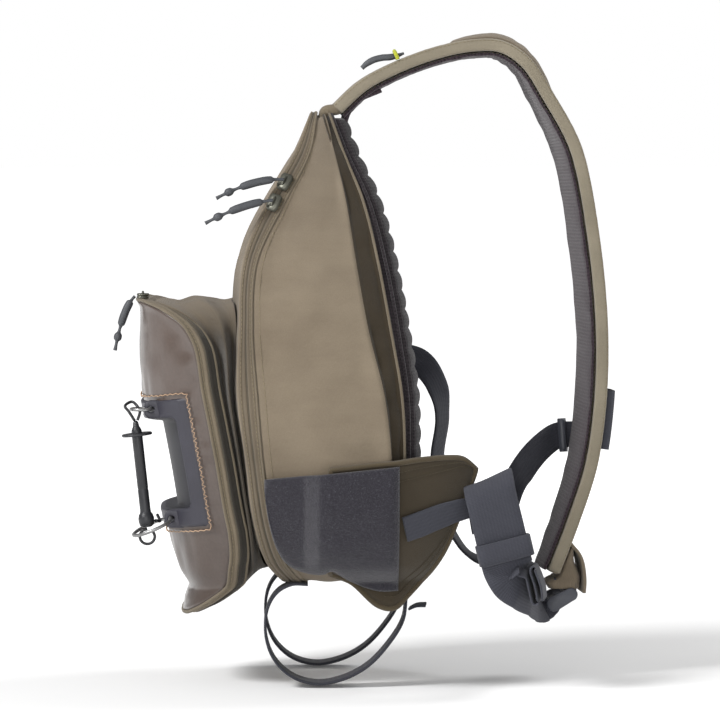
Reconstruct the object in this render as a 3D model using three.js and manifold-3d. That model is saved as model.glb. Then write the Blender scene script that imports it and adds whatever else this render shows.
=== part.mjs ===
// A fishing tackle sling bag: a teardrop pack with a zipped front pocket, a moulded tippet
// dock, a ribbed back pad, one shoulder strap, a hip wing, webbing and two bottle cradle straps.
// Millimetres. +X points to the wearer, -X to the front pocket, -Y is the side with the fly
// patch, +Z is up. Sizes below are measured from the lower edge of the pack (z = 0) and from
// the plane of its back (x = 0); the finished group is moved so that the place where the strap
// rests on a shoulder is the origin.
import * as THREE from "three";
import { mergeVertices } from "three/addons/utils/BufferGeometryUtils.js";
import Module from "manifold-3d";

const wasm = await Module();
wasm.setup();

// Cloth, foam and fits
const cloth = 2;
const clearance = 0.3;
const layerGap = 0.8;
const webbingThickness = 2;
const wideWebbing = 38;
const narrowWebbing = 20;
const cradleWebbing = 26;
const cordDiameter = 3;

// The pack
const bodyHeight = 350;
const bodyWidth = 236;
const bodyDepth = 136;
const panelBulge = 6;
const panelShare = 0.84;
const zipShare = 0.88;
const seamShare = 0.9;
const zipGroove = 0.8;

// The back pad
const padThickness = 10.5;
const channelPitch = 14;
const channelDepth = 3.2;

// The front pocket
const pocketHeight = 234;
const pocketWidth = 182;
const pocketDepth = 76;
const pocketDrop = 18;
const pocketBow = 46;
const pocketSag = 7;
const pocketZipWidth = 13;
const pocketBowPower = 3.5;
const gussetInset = 0.6;
const foldDepth = 4;

// The tippet dock and its post
const dockHeight = 96;
const dockBase = 60;
const dockSpread = 0.9;
const spineWidth = 0.045;
const railHeight = 14;
const dockProud = 2.6;
const dockRecess = 11;
const dockFloor = 2.5;
const lugThickness = 5;
const eyeletDiameter = 5.2;
const ringWire = 2.6;
const upperRingDiameter = 15;
const lowerRingDiameter = 31;
const postDiameter = 8;
const stopDiameter = 23;
const stopThickness = 2;

// The shoulder strap
const strapWidth = 72;
const strapThickness = 9;
const meshThickness = 4.5;
const meshInset = 2;
const strapReach = 205;

// Patch, wing, cradle
const patchThickness = 3;
const wingThickness = 5;
const wingReach = 40;
const seatGap = 3;
const bottleDiameter = 74;
const cradleSpacing = 124;

// Colours
const taupe = { color: 0x968a70, roughness: 0.85, metalness: 0 };
const paleTaupe = { color: 0xa0967f, roughness: 0.85, metalness: 0 };
const coated = { color: 0x73645c, roughness: 0.45, metalness: 0 };
const slate = { color: 0x55545e, roughness: 0.8, metalness: 0 };
const plum = { color: 0x60545c, roughness: 0.9, metalness: 0 };
const moulded = { color: 0x585662, roughness: 0.6, metalness: 0 };
const felt = { color: 0x3e3a44, roughness: 1, metalness: 0 };
const blackPlastic = { color: 0x1c1d20, roughness: 0.4, metalness: 0 };
const pullRubber = { color: 0x424448, roughness: 0.6, metalness: 0 };
const gunmetal = { color: 0x5f5f55, roughness: 0.4, metalness: 0.9 };
const wire = { color: 0x969696, roughness: 0.45, metalness: 0.6 };
const lime = { color: 0xafb428, roughness: 0.7, metalness: 0 };

// Lines of the pack, a row for each height. z is a share of bodyHeight, half of half the
// bodyWidth, and front, rear, ridge and back are shares of bodyDepth in front of the back plane.
const bodyRows = [
  { z: 0, half: 0.66, front: 0.757, rear: 0.662, ridge: 0.169, back: 0.074 },
  { z: 0.043, half: 0.83, front: 0.846, rear: 0.743, ridge: 0.169, back: 0.074 },
  { z: 0.129, half: 0.95, front: 0.912, rear: 0.816, ridge: 0.169, back: 0.074 },
  { z: 0.257, half: 1, front: 0.956, rear: 0.868, ridge: 0.169, back: 0.074 },
  { z: 0.4, half: 0.99, front: 1, rear: 0.9, ridge: 0.206, back: 0.081 },
  { z: 0.543, half: 0.915, front: 0.993, rear: 0.925, ridge: 0.294, back: 0.132 },
  { z: 0.686, half: 0.79, front: 0.97, rear: 0.9, ridge: 0.36, back: 0.199 },
  { z: 0.814, half: 0.62, front: 0.838, rear: 0.743, ridge: 0.412, back: 0.287 },
  { z: 0.914, half: 0.46, front: 0.69, rear: 0.61, ridge: 0.471, back: 0.404 },
  { z: 1, half: 0.34, front: 0.6, rear: 0.57, ridge: 0.53, back: 0.49 },
];
const bodyStations = [0, 0.02, 0.06, 0.13, 0.22, 0.33, 0.45, 0.57, 0.68, 0.78, 0.87, 0.94, 1];

// Outline of the pocket: z is a share of pocketHeight, half of half the pocketWidth, and
// stand is how far the zip band stands off the pack, as a share of pocketDepth.
const pocketRows = [
  { z: 0, half: 0.5, stand: 0.22 },
  { z: 0.03, half: 0.74, stand: 0.2 },
  { z: 0.08, half: 0.88, stand: 0.15 },
  { z: 0.15, half: 0.965, stand: 0.1 },
  { z: 0.25, half: 1, stand: 0.09 },
  { z: 0.48, half: 1, stand: 0.12 },
  { z: 0.62, half: 1, stand: 0.145 },
  { z: 0.76, half: 1, stand: 0.2 },
  { z: 0.85, half: 0.975, stand: 0.22 },
  { z: 0.92, half: 0.9, stand: 0.225 },
  { z: 0.97, half: 0.76, stand: 0.235 },
  { z: 1, half: 0.54, stand: 0.25 },
];

// Folds of the pocket's gusset from the pack (0) to the zip band (1): width is a share of the
// pocket's outline, and fold a share of foldDepth inwards.
const gussetRows = [
  { at: 0, width: 0.93, fold: 0 },
  { at: 0.22, width: 0.97, fold: -0.7 },
  { at: 0.48, width: 0.97, fold: 1 },
  { at: 0.74, width: 0.99, fold: -0.8 },
  { at: 1, width: 1, fold: 0 },
];

// Route of the strap's outer face: x is a share of strapReach from the strap's root, z a
// share of bodyHeight, half a share of half the strapWidth, and lean is how far the strap's
// far edge turns inwards, for each millimetre across it.
const strapRows = [
  { x: 0, z: 1.014, half: 0.9, lean: 0 },
  { x: 0.1, z: 1.068, half: 1, lean: 0 },
  { x: 0.21, z: 1.104, half: 1, lean: 0 },
  { x: 0.37, z: 1.14, half: 1, lean: 0 },
  { x: 0.52, z: 1.158, half: 1, lean: 0 },
  { x: 0.63, z: 1.155, half: 1, lean: 0 },
  { x: 0.725, z: 1.118, half: 1, lean: 0.02 },
  { x: 0.81, z: 1.037, half: 1, lean: 0.06 },
  { x: 0.905, z: 0.923, half: 1, lean: 0.1 },
  { x: 0.97, z: 0.726, half: 1, lean: 0.11 },
  { x: 1, z: 0.534, half: 1, lean: 0.11 },
  { x: 0.995, z: 0.38, half: 1, lean: 0.11 },
  { x: 0.965, z: 0.24, half: 0.95, lean: 0.1 },
  { x: 0.9, z: 0.112, half: 0.85, lean: 0.09 },
  { x: 0.83, z: -0.003, half: 0.72, lean: 0.08 },
];

// Smooth value of one column of a table at a place along its key column.
function lookup(rows, key, column, at) {
  const first = rows[0];
  const last = rows[rows.length - 1];
  if (at <= first[key]) return first[column];
  if (at >= last[key]) return last[column];
  const k = rows.findIndex((row) => row[key] > at) - 1;
  const slope = (i) => {
    const a = rows[Math.max(i - 1, 0)];
    const b = rows[Math.min(i + 1, rows.length - 1)];
    return (b[column] - a[column]) / (b[key] - a[key]);
  };
  const [a, b] = [rows[k], rows[k + 1]];
  const span = b[key] - a[key];
  const t = (at - a[key]) / span;
  const [t2, t3] = [t * t, t * t * t];
  return (
    (2 * t3 - 3 * t2 + 1) * a[column] +
    (t3 - 2 * t2 + t) * span * slope(k) +
    (3 * t2 - 2 * t3) * b[column] +
    (t3 - t2) * span * slope(k + 1)
  );
}

const mix = (a, b, t) => a + (b - a) * t;

// A closed geometry from points and triangles, with its faces turned outwards.
function closedSkin(points, faces) {
  let volume = 0;
  for (const [a, b, c] of faces) {
    const [p, q, r] = [points[a], points[b], points[c]];
    volume += p[0] * (q[1] * r[2] - q[2] * r[1]);
    volume += p[1] * (q[2] * r[0] - q[0] * r[2]);
    volume += p[2] * (q[0] * r[1] - q[1] * r[0]);
  }
  const turned = volume < 0 ? faces.map(([a, b, c]) => [a, c, b]) : faces;
  const geometry = new THREE.BufferGeometry();
  geometry.setAttribute("position", new THREE.Float32BufferAttribute(points.flat(), 3));
  geometry.setIndex(turned.flat());
  return geometry;
}

// Rungs that close a ring of points, joining each point with the one opposite it.
function rungs(start, count) {
  const faces = [];
  for (let i = 0; i < count / 2 - 1; i += 1) {
    const [a, b] = [start + i, start + i + 1];
    const [c, d] = [start + count - 2 - i, start + count - 1 - i];
    faces.push([a, b, c], [a, c, d]);
  }
  return faces;
}

// A closed body through rings of points. A joined body runs round into its first ring again.
function skin(rings, joined = false) {
  const count = rings[0].length;
  const faces = [];
  const bands = joined ? rings.length : rings.length - 1;
  for (let row = 0; row < bands; row += 1) {
    const here = row * count;
    const next = ((row + 1) % rings.length) * count;
    for (let i = 0; i < count; i += 1) {
      const j = (i + 1) % count;
      faces.push([here + i, here + j, next + j], [here + i, next + j, next + i]);
    }
  }
  if (!joined) {
    faces.push(...rungs(0, count).map(([a, b, c]) => [a, c, b]));
    faces.push(...rungs((rings.length - 1) * count, count));
  }
  return closedSkin(rings.flat(), faces);
}

// Joins and cuts of closed geometries.
function solidOf(geometry) {
  const bare = geometry.clone();
  bare.deleteAttribute("normal");
  bare.deleteAttribute("uv");
  const merged = mergeVertices(bare, 1e-3);
  return new wasm.Manifold(
    new wasm.Mesh({
      numProp: 3,
      vertProperties: new Float32Array(merged.attributes.position.array),
      triVerts: new Uint32Array(merged.index.array),
    }),
  );
}

function geometryOf(solid) {
  const mesh = solid.getMesh();
  const geometry = new THREE.BufferGeometry();
  geometry.setAttribute("position", new THREE.BufferAttribute(mesh.vertProperties, 3));
  geometry.setIndex(new THREE.BufferAttribute(mesh.triVerts, 1));
  return geometry;
}

const bag = new THREE.Group();

function addPart(name, geometry, finish) {
  const shaded = geometry.index ? geometry.toNonIndexed() : geometry;
  shaded.computeVertexNormals();
  const mesh = new THREE.Mesh(shaded, new THREE.MeshStandardMaterial(finish));
  mesh.name = name;
  bag.add(mesh);
  return mesh;
}

// The pack's lines

// A column of bodyRows at a height, straight between the stations as the cloth's facets are.
function bodyShare(column, z) {
  const share = Math.min(Math.max(z / bodyHeight, 0), 1);
  const k = Math.max(bodyStations.findIndex((station) => station >= share), 1);
  const [low, high] = [bodyStations[k - 1], bodyStations[k]];
  return mix(
    lookup(bodyRows, "z", column, low),
    lookup(bodyRows, "z", column, high),
    (share - low) / (high - low),
  );
}

const bodyX = (line, z) => -bodyDepth * bodyShare(line, z);
const bodyHalf = (z) => (bodyWidth / 2) * bodyShare("half", z);

// One ring round the pack. width and inset narrow the outline, shrink draws it to its middle.
function bodyRing({ xAt, width = 1, inset = 0, shrink = 1 }) {
  const middle = bodyHeight * 0.42;
  const side = bodyStations.map((share) => {
    const z = mix(inset, bodyHeight - inset, share);
    return [bodyHalf(z) * width - inset, z];
  });
  const bottom = [side[0][0] / 3, side[0][1]];
  const top = [side[side.length - 1][0] / 3, side[side.length - 1][1]];
  const half = [bottom, ...side, top];
  const far = half.map(([y, z]) => [y, z]);
  const near = half.map(([y, z]) => [-y, z]).reverse();
  return [...far, ...near].map(([y, z]) => {
    const shrunkY = y * shrink;
    const shrunkZ = middle + (z - middle) * shrink;
    return [xAt(shrunkZ, shrink), shrunkY, shrunkZ];
  });
}

// The front panel's face at any height and sideways place, used again by the pocket.
const panelX = (z, reach) => bodyX("front", z) - panelBulge * (1 - reach * reach);

function frontPanel() {
  const outer = [0.06, 0.35, 0.65, 0.86, 1].map((shrink) =>
    bodyRing({ xAt: (z) => panelX(z, shrink) - clearance, width: panelShare, shrink }),
  );
  const inner = [1, 0.86, 0.65, 0.35, 0.06].map((shrink) =>
    bodyRing({
      xAt: (z) => panelX(z, shrink) - clearance + (shrink === 1 ? 0 : cloth),
      width: panelShare,
      inset: cloth,
      shrink,
    }),
  );
  return skin([...outer, ...inner]);
}

function mainZip() {
  const rows = [
    { across: 0, inset: 0 },
    { across: 0.32, inset: 0 },
    { across: 0.4, inset: zipGroove },
    { across: 0.6, inset: zipGroove },
    { across: 0.68, inset: 0 },
    { across: 1, inset: 0 },
    { across: 1, inset: cloth },
    { across: 0, inset: cloth },
  ];
  const rings = rows.map(({ across, inset }) =>
    bodyRing({
      xAt: (z) => mix(bodyX("front", z), bodyX("rear", z) - 2 * clearance, across),
      width: mix(panelShare, zipShare, across),
      inset,
    }),
  );
  return skin(rings, true);
}

// Rows of the pack's side wall from the zip (0) to the back seam (4)
const sideRows = [
  { from: "rear", to: "rear", part: 0, width: zipShare },
  { from: "rear", to: "ridge", part: 0.5, width: 0.965 },
  { from: "ridge", to: "ridge", part: 0, width: 1 },
  { from: "ridge", to: "back", part: 0.5, width: 0.975 },
  { from: "back", to: "back", part: 0, width: seamShare },
];
const sideRowX = (row, z) => mix(bodyX(row.from, z), bodyX(row.to, z), row.part);

function rearShell() {
  const outer = sideRows.map((row) =>
    bodyRing({ xAt: (z) => sideRowX(row, z), width: row.width }),
  );
  const inner = sideRows.map((row, index) =>
    bodyRing({
      xAt: (z) => sideRowX(row, z) - (index === 4 ? cloth : 0),
      width: row.width,
      inset: cloth,
    }),
  );
  const backShrinks = [0.88, 0.7, 0.5, 0.28, 0.06];
  const backFace = backShrinks.map((shrink) =>
    bodyRing({ xAt: (z) => bodyX("back", z), width: seamShare, shrink }),
  );
  const backInner = backShrinks.map((shrink) =>
    bodyRing({
      xAt: (z) => bodyX("back", z) - cloth,
      width: seamShare,
      inset: cloth,
      shrink,
    }),
  );
  // From the inside's middle out to the zip's edge and back to the outside's middle
  return skin([...backInner.reverse(), ...inner.reverse(), ...outer, ...backFace]);
}

// Half width of the pack's side wall at a place x, z: the hip wing and the patch lie on it.
function sideY(x, z) {
  const lines = sideRows.map((row) => ({ x: sideRowX(row, z), width: row.width }));
  const clampedX = Math.min(Math.max(x, lines[0].x), lines[4].x);
  const k = Math.min(
    lines.findIndex((line, i) => i < 4 && clampedX <= lines[i + 1].x),
    3,
  );
  const [a, b] = [lines[k], lines[k + 1]];
  const width = mix(a.width, b.width, (clampedX - a.x) / (b.x - a.x));
  return bodyHalf(z) * width;
}

// The back pad has sewn channels across it, one every channelPitch.
function backPad() {
  const margin = 4;
  const channels = Math.round((bodyHeight - 2 * margin) / channelPitch);
  const columns = [
    { across: 1, full: 0.35 },
    { across: 0.86, full: 0.92 },
    { across: 0, full: 1 },
    { across: -0.86, full: 0.92 },
    { across: -1, full: 0.35 },
  ];
  const rings = [];
  for (let row = 0; row <= 2 * channels; row += 1) {
    const z = mix(margin, bodyHeight - margin, row / (2 * channels));
    const half = bodyHalf(z) * seamShare * 0.985;
    const base = bodyX("back", z) + layerGap;
    const thick = padThickness - (row % 2 === 0 ? channelDepth : 0);
    const face = columns.map(({ across, full }) => [base + thick * full, half * across, z]);
    const rear = columns.map(({ across }) => [base, half * across, z]).reverse();
    rings.push([...face, ...rear]);
  }
  return skin(rings);
}

// The pocket's lines

const bow = (y) => pocketBow * (1 - Math.min(Math.abs(y) / (pocketWidth / 2), 1) ** pocketBowPower);
const pocketZ = (share) => mix(-pocketDrop, pocketHeight - pocketDrop, share);
const pocketShare = (z) => (z + pocketDrop) / pocketHeight;
const pocketHalf = (share) => (pocketWidth / 2) * lookup(pocketRows, "z", "half", share);

// x of the zip band's rear edge on the pocket's side wall, before the bow forwards.
function bandX(z) {
  const share = Math.min(Math.max(pocketShare(z), 0), 1);
  const panel = bodyX("front", Math.min(Math.max(z, 0), bodyHeight));
  return panel - pocketDepth * lookup(pocketRows, "z", "stand", share);
}

// x of the lid's face at y, z.
const lidX = (y, z) => bandX(z) - pocketZipWidth - clearance - bow(y);

// Points round the pocket's outline as sideways place and height.
function pocketOutline() {
  const side = pocketRows.map(({ z }) => [pocketHalf(z), pocketZ(z)]);
  const bottom = [side[0][0] * 0.36, side[0][1]];
  const top = [side[side.length - 1][0] * 0.36, side[side.length - 1][1]];
  const half = [bottom, ...side, top];
  return [...half, ...half.map(([y, z]) => [-y, z]).reverse()];
}

// The pocket's edge sinks a little towards the front, as its bow carries it forwards.
const sunk = (y, z) => z - (pocketSag * bow(y)) / pocketBow;

// Draws a point of the outline towards the pocket's middle by an inset.
function drawnIn(y, z, inset) {
  const [across, up] = [y / (pocketWidth / 2), (pocketShare(z) - 0.5) * 2];
  const reach = Math.hypot(across ** 3, up ** 3);
  return [y - (inset * across ** 3) / reach, z - (inset * up ** 3) / reach];
}

function bandRing({ ahead, inset }) {
  return pocketOutline().map(([y, z]) => {
    const [inY, inZ] = drawnIn(y, z, inset);
    return [bandX(z) - bow(y) - ahead, inY, sunk(y, inZ)];
  });
}

function pocketGusset() {
  const rearBase = 8;
  const rearTop = bodyHeight * 0.575;
  const rearPoint = (y, z, width) => {
    const rearZ = mix(rearBase, rearTop, pocketShare(z));
    const rearY = y * width;
    const reach = Math.min(
      1,
      Math.max(
        Math.abs(rearY) / (bodyHalf(rearZ) * panelShare),
        Math.abs(rearZ - bodyHeight * 0.42) / (bodyHeight * 0.58),
      ),
    );
    return [panelX(rearZ, reach) - clearance - gussetInset, rearY, rearZ];
  };
  const ringAt = ({ at, width, fold }, inset) =>
    pocketOutline().map(([y, z]) => {
      const rear = rearPoint(y, z, width);
      const front = [bandX(z) - bow(y), y, sunk(y, z)];
      const pulled = drawnIn(y, z, inset + fold * foldDepth);
      return [
        mix(rear[0], front[0], at),
        mix(rear[1], front[1], at) + pulled[0] - y,
        mix(rear[2], front[2], at) + pulled[1] - z,
      ];
    });
  const outer = gussetRows.map((row) => ringAt(row, 0));
  const inner = gussetRows.map((row) => ringAt(row, cloth));
  return skin([...outer, ...inner.reverse()], true);
}

function pocketZip() {
  const middle = pocketZipWidth * 0.48;
  const rows = [
    { ahead: 2 * clearance, inset: 0 },
    { ahead: middle, inset: -0.6 },
    { ahead: middle + 0.8, inset: 0.6 },
    { ahead: middle + 1.6, inset: 0 },
    { ahead: pocketZipWidth, inset: 1.2 },
    { ahead: pocketZipWidth, inset: 1.2 + cloth },
    { ahead: 2 * clearance, inset: cloth },
  ];
  return skin(rows.map((row) => bandRing(row)), true);
}

// The lid is a cup: rim at the zip, then the face drawn to its middle.
function pocketLid() {
  const rim = 1.2;
  const middle = pocketZ(0.5);
  const faceRing = (shrink, inset, back) =>
    pocketOutline().map(([y, z]) => {
      const [faceY, faceZ] = [y * shrink, middle + (z - middle) * shrink];
      const [inY, inZ] = drawnIn(faceY, faceZ, inset);
      return [lidX(faceY, faceZ) + back, inY, sunk(faceY, inZ)];
    });
  const shrinks = [0.06, 0.3, 0.55, 0.76, 0.9, 1];
  const outer = shrinks.map((shrink) => faceRing(shrink, shrink ** 6 * rim, 0));
  const inner = shrinks.map((shrink) =>
    shrink === 1
      ? faceRing(shrink, rim + cloth, 0)
      : faceRing(shrink, shrink ** 6 * (rim + cloth * 0.7), cloth),
  );
  return skin([...outer, ...inner.reverse()]);
}

// A bowed plate that follows the lid: out and back are offsets from the lid's face.
function bowedPlate({ spread, low, high, out, back }) {
  const half = (pocketWidth / 2) * spread;
  const shares = [-1, -0.93, -0.84, -0.72, -0.5, -0.18, 0.18, 0.5, 0.72, 0.84, 0.93, 1];
  const heights = [0, 0.33, 0.67, 1].map((t) => mix(low, high, t));
  const rings = shares.map((share) => {
    const y = share * half;
    const outer = heights.map((z) => [lidX(y, z) - out, y, sunk(y, z)]);
    const inner = heights.map((z) => [lidX(y, z) + back, y, sunk(y, z)]).reverse();
    return [...outer, ...inner];
  });
  return skin(rings);
}

const dockLow = dockBase - pocketDrop + pocketSag / 2;
const dockHigh = dockLow + dockHeight;
const lugY = -pocketWidth * 0.335;

// Centre of an eyelet in the lug on a rail that lies at height z.
const eyelet = (z) => {
  const face = lidX(lugY, z) - dockProud;
  return [face - 3.2, lugY, sunk(lugY, z)];
};

// Points of an arc round a centre, in equal steps from one angle to another.
function arc(centre, radius, from, to, steps) {
  const points = [];
  for (let i = 0; i <= steps; i += 1) {
    const angle = mix(from, to, i / steps);
    const [x, y] = [radius * Math.cos(angle), radius * Math.sin(angle)];
    points.push(new THREE.Vector2(centre[0] + x, centre[1] + y));
  }
  return points;
}

// A lug stands off each rail towards the front and has an eyelet for a wire ring.
function lug(z) {
  const [x, y, height] = eyelet(z);
  const half = railHeight / 2;
  const nose = 5.5;
  const root = 12;
  const corner = half * 0.6;
  const noseX = x - nose + corner;
  const shape = new THREE.Shape([
    new THREE.Vector2(x + root, height - half),
    new THREE.Vector2(x + root, height + half),
    ...arc([noseX, height + half - corner], corner, Math.PI / 2, Math.PI, 3),
    ...arc([noseX, height - half + corner], corner, Math.PI, Math.PI * 1.5, 3),
  ]);
  shape.holes.push(new THREE.Path(arc([x, height], eyeletDiameter / 2, 0, Math.PI * 1.8, 9)));
  const geometry = new THREE.ExtrudeGeometry(shape, {
    depth: lugThickness,
    bevelEnabled: false,
  });
  geometry.rotateX(Math.PI / 2);
  geometry.translate(0, y + lugThickness / 2, 0);
  return geometry;
}

const upperRail = dockHigh - railHeight / 2;
const lowerRail = dockLow + railHeight / 2;

function tippetDock() {
  const block = solidOf(
    bowedPlate({
      spread: dockSpread - 0.004,
      low: dockLow,
      high: dockHigh,
      out: dockProud,
      back: dockRecess + dockFloor,
    }),
  );
  const recess = solidOf(
    bowedPlate({
      spread: dockSpread - spineWidth * 2,
      low: dockLow + railHeight,
      high: dockHigh - railHeight,
      out: dockProud * 3,
      back: dockRecess,
    }),
  );
  return geometryOf(
    block.subtract(recess).add(solidOf(lug(upperRail))).add(solidOf(lug(lowerRail))),
  );
}

// The lid has a window that the dock sits in.
function lidWithWindow() {
  const window = bowedPlate({
    spread: dockSpread,
    low: dockLow - clearance,
    high: dockHigh + clearance,
    out: dockProud * 4,
    back: dockRecess * 2,
  });
  return geometryOf(solidOf(pocketLid()).subtract(solidOf(window)));
}

// A body of round section swept along points.
function tube(points, diameter, sides = 8, steps = 24, loop = false) {
  const path = new THREE.CatmullRomCurve3(
    points.map((p) => new THREE.Vector3(...p)),
    loop,
    "centripetal",
  );
  const section = new THREE.Shape();
  for (let i = 0; i < sides; i += 1) {
    const angle = (2 * Math.PI * i) / sides;
    const [x, y] = [(diameter / 2) * Math.cos(angle), (diameter / 2) * Math.sin(angle)];
    if (i === 0) section.moveTo(x, y);
    else section.lineTo(x, y);
  }
  section.closePath();
  return new THREE.ExtrudeGeometry(section, {
    steps,
    bevelEnabled: false,
    extrudePath: path,
  });
}

// A body with a round section that changes along its axis: profile rows are [radius, height].
function turned(profile, sides = 12) {
  return new THREE.LatheGeometry(
    profile.map(([radius, height]) => new THREE.Vector2(radius, height)),
    sides,
  );
}

// Places a lathe body whose axis is Y so that it runs from base along a direction.
function along(geometry, base, direction) {
  const turn = new THREE.Quaternion().setFromUnitVectors(
    new THREE.Vector3(0, 1, 0),
    new THREE.Vector3(...direction).normalize(),
  );
  geometry.applyQuaternion(turn);
  geometry.translate(...base);
  return geometry;
}

// The post hangs beside the rings and leans as the dock does.
const postTop = [eyelet(upperRail)[0] - 11, lugY - 4, eyelet(upperRail)[2] - 15];
const postFoot = [eyelet(lowerRail)[0] - 19, lugY - 4, eyelet(lowerRail)[2] + 2];
const postAxis = postTop.map((value, i) => value - postFoot[i]);

function tippetPost() {
  const length = Math.hypot(...postAxis);
  const radius = postDiameter / 2;
  const profile = [
    [0, -8],
    [radius + 1.5, -6],
    [radius + 2, -1],
    [radius + 1, 3],
    [radius, 5],
    [radius, length - 1],
    [radius * 0.6, length + 2],
    [radius * 0.45, length + 6],
    [0, length + 7],
  ];
  return along(turned(profile), postFoot, postAxis);
}

function tippetStop() {
  const inner = postDiameter / 2 + clearance;
  const outer = stopDiameter / 2;
  const level = Math.hypot(...postAxis) * 0.93;
  const profile = [
    [inner, level],
    [outer, level],
    [outer, level + stopThickness],
    [inner, level + stopThickness],
    [inner, level],
  ];
  return along(turned(profile, 16), postFoot, postAxis);
}

// A ring through an eyelet, round the front end of its lug.
function wireRing(centre, diameter, tilt, roll) {
  const ring = new THREE.TorusGeometry(diameter / 2, ringWire / 2, 6, 18);
  ring.rotateX(roll);
  ring.rotateY(tilt);
  ring.translate(...centre);
  return ring;
}

function tippetLoop() {
  const top = postTop.map((value, i) => value + (postAxis[i] / Math.hypot(...postAxis)) * 7.6);
  const ringLeft = [eyelet(upperRail)[0] - upperRingDiameter, lugY, eyelet(upperRail)[2]];
  const points = [
    [top[0] - 0.8, top[1], top[2] + 1.2],
    [top[0] - 5, top[1] - 1.5, top[2] + 8],
    [ringLeft[0] - 4.5, top[1], ringLeft[2] + 2.5],
    [ringLeft[0] + 0.5, lugY + 1, ringLeft[2] + 5.5],
    [ringLeft[0] + 5, top[1], ringLeft[2] + 2],
    [top[0] + 2.6, top[1] + 0.5, top[2] + 4],
  ];
  return tube(points, cordDiameter * 0.75, 6, 16);
}

function tippetHook() {
  const below = postFoot.map((value, i) => value - (postAxis[i] / Math.hypot(...postAxis)) * 8.6);
  const radius = 5.6;
  const points = [];
  for (let i = 0; i <= 8; i += 1) {
    const angle = Math.PI * (0.5 + (i / 8) * 1.72);
    points.push([
      below[0] + radius * Math.cos(angle),
      below[1],
      below[2] - radius - 0.8 + radius * Math.sin(angle),
    ]);
  }
  return tube(points, 2.2, 6, 12);
}

// Flat strips: each section has a centre, a width direction and a width. The strip's face
// points along the cross product of its run and its width direction.
function strip(sections, thickness, steps = 0) {
  const centres = new THREE.CatmullRomCurve3(
    sections.map(({ at }) => new THREE.Vector3(...at)),
    false,
    "centripetal",
  );
  const count = steps || sections.length * 3;
  const rings = [];
  for (let i = 0; i <= count; i += 1) {
    const t = i / count;
    const centre = centres.getPoint(t);
    const run = centres.getTangent(t);
    const place = t * (sections.length - 1);
    const k = Math.min(Math.floor(place), sections.length - 2);
    const [a, b] = [sections[k], sections[k + 1]];
    const part = place - k;
    const ease = part * part * (3 - 2 * part);
    const across = new THREE.Vector3(...a.across)
      .normalize()
      .lerp(new THREE.Vector3(...b.across).normalize(), ease);
    across.addScaledVector(run, -across.dot(run)).normalize();
    const face = new THREE.Vector3().crossVectors(run, across).normalize();
    const half = mix(a.width, b.width, ease) / 2;
    const corner = (side, lift) =>
      centre
        .clone()
        .addScaledVector(across, side * half)
        .addScaledVector(face, (lift * thickness) / 2)
        .toArray();
    rings.push([corner(-1, 1), corner(1, 1), corner(1, -1), corner(-1, -1)]);
  }
  return skin(rings);
}

// The shoulder strap's outer face as a curve in the plane y = 0.
const strapRootX = bodyX("back", bodyHeight);
const strapCurve = new THREE.CatmullRomCurve3(
  strapRows.map(({ x, z }) => new THREE.Vector3(strapRootX + x * strapReach, 0, z * bodyHeight)),
  false,
  "centripetal",
);

function strapAt(t) {
  const point = strapCurve.getPoint(t);
  const run = strapCurve.getTangent(t);
  const place = t * (strapRows.length - 1);
  const k = Math.min(Math.floor(place), strapRows.length - 2);
  const column = (name) => mix(strapRows[k][name], strapRows[k + 1][name], place - k);
  const half = (strapWidth / 2) * column("half");
  return { point, inward: [run.z, -run.x], half, lean: column("lean") };
}

// A point of the strap's section: reach in millimetres across it, depth below its outer face.
function strapPoint({ point, inward, lean }, reach, depth) {
  const inwards = depth + reach * lean;
  return [point.x + inward[0] * inwards, reach, point.z + inward[1] * inwards];
}

// A point on the strap: t along it, side across it as a share of half, depth below its face.
function onStrap(t, side, depth) {
  const place = strapAt(t);
  return strapPoint(place, side * place.half, depth);
}

// One layer of the strap between two depths below its outer face.
function strapLayer(top, bottom, trim, steps = 32) {
  const soft = Math.min(2.5, (bottom - top) * 0.3);
  const rings = [];
  for (let i = 0; i <= steps; i += 1) {
    const place = strapAt(mix(0.004, 0.996, i / steps));
    const reach = place.half - trim;
    rings.push([
      strapPoint(place, soft - reach, top),
      strapPoint(place, reach - soft, top),
      strapPoint(place, reach, top + soft),
      strapPoint(place, reach, bottom - soft),
      strapPoint(place, reach - soft, bottom),
      strapPoint(place, soft - reach, bottom),
      strapPoint(place, -reach, bottom - soft),
      strapPoint(place, -reach, top + soft),
    ]);
  }
  return skin(rings);
}

// The long flat pocket on the strap's outer face over the shoulder.
function strapPocket() {
  const rows = [];
  const steps = 14;
  const columns = [-0.78, -0.5, 0.5, 0.78];
  for (let i = 0; i <= steps; i += 1) {
    const part = i / steps;
    const t = mix(0.25, 0.5, part);
    const rise = 4.5 * Math.sin(Math.PI * part) ** 0.6 + 0.8;
    const outer = columns.map((side, c) =>
      onStrap(t, side, -clearance - rise * (c === 0 || c === 3 ? 0.35 : 1)),
    );
    const inner = columns.map((side) => onStrap(t, side, -clearance)).reverse();
    rows.push([...outer, ...inner]);
  }
  return skin(rows);
}

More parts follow.
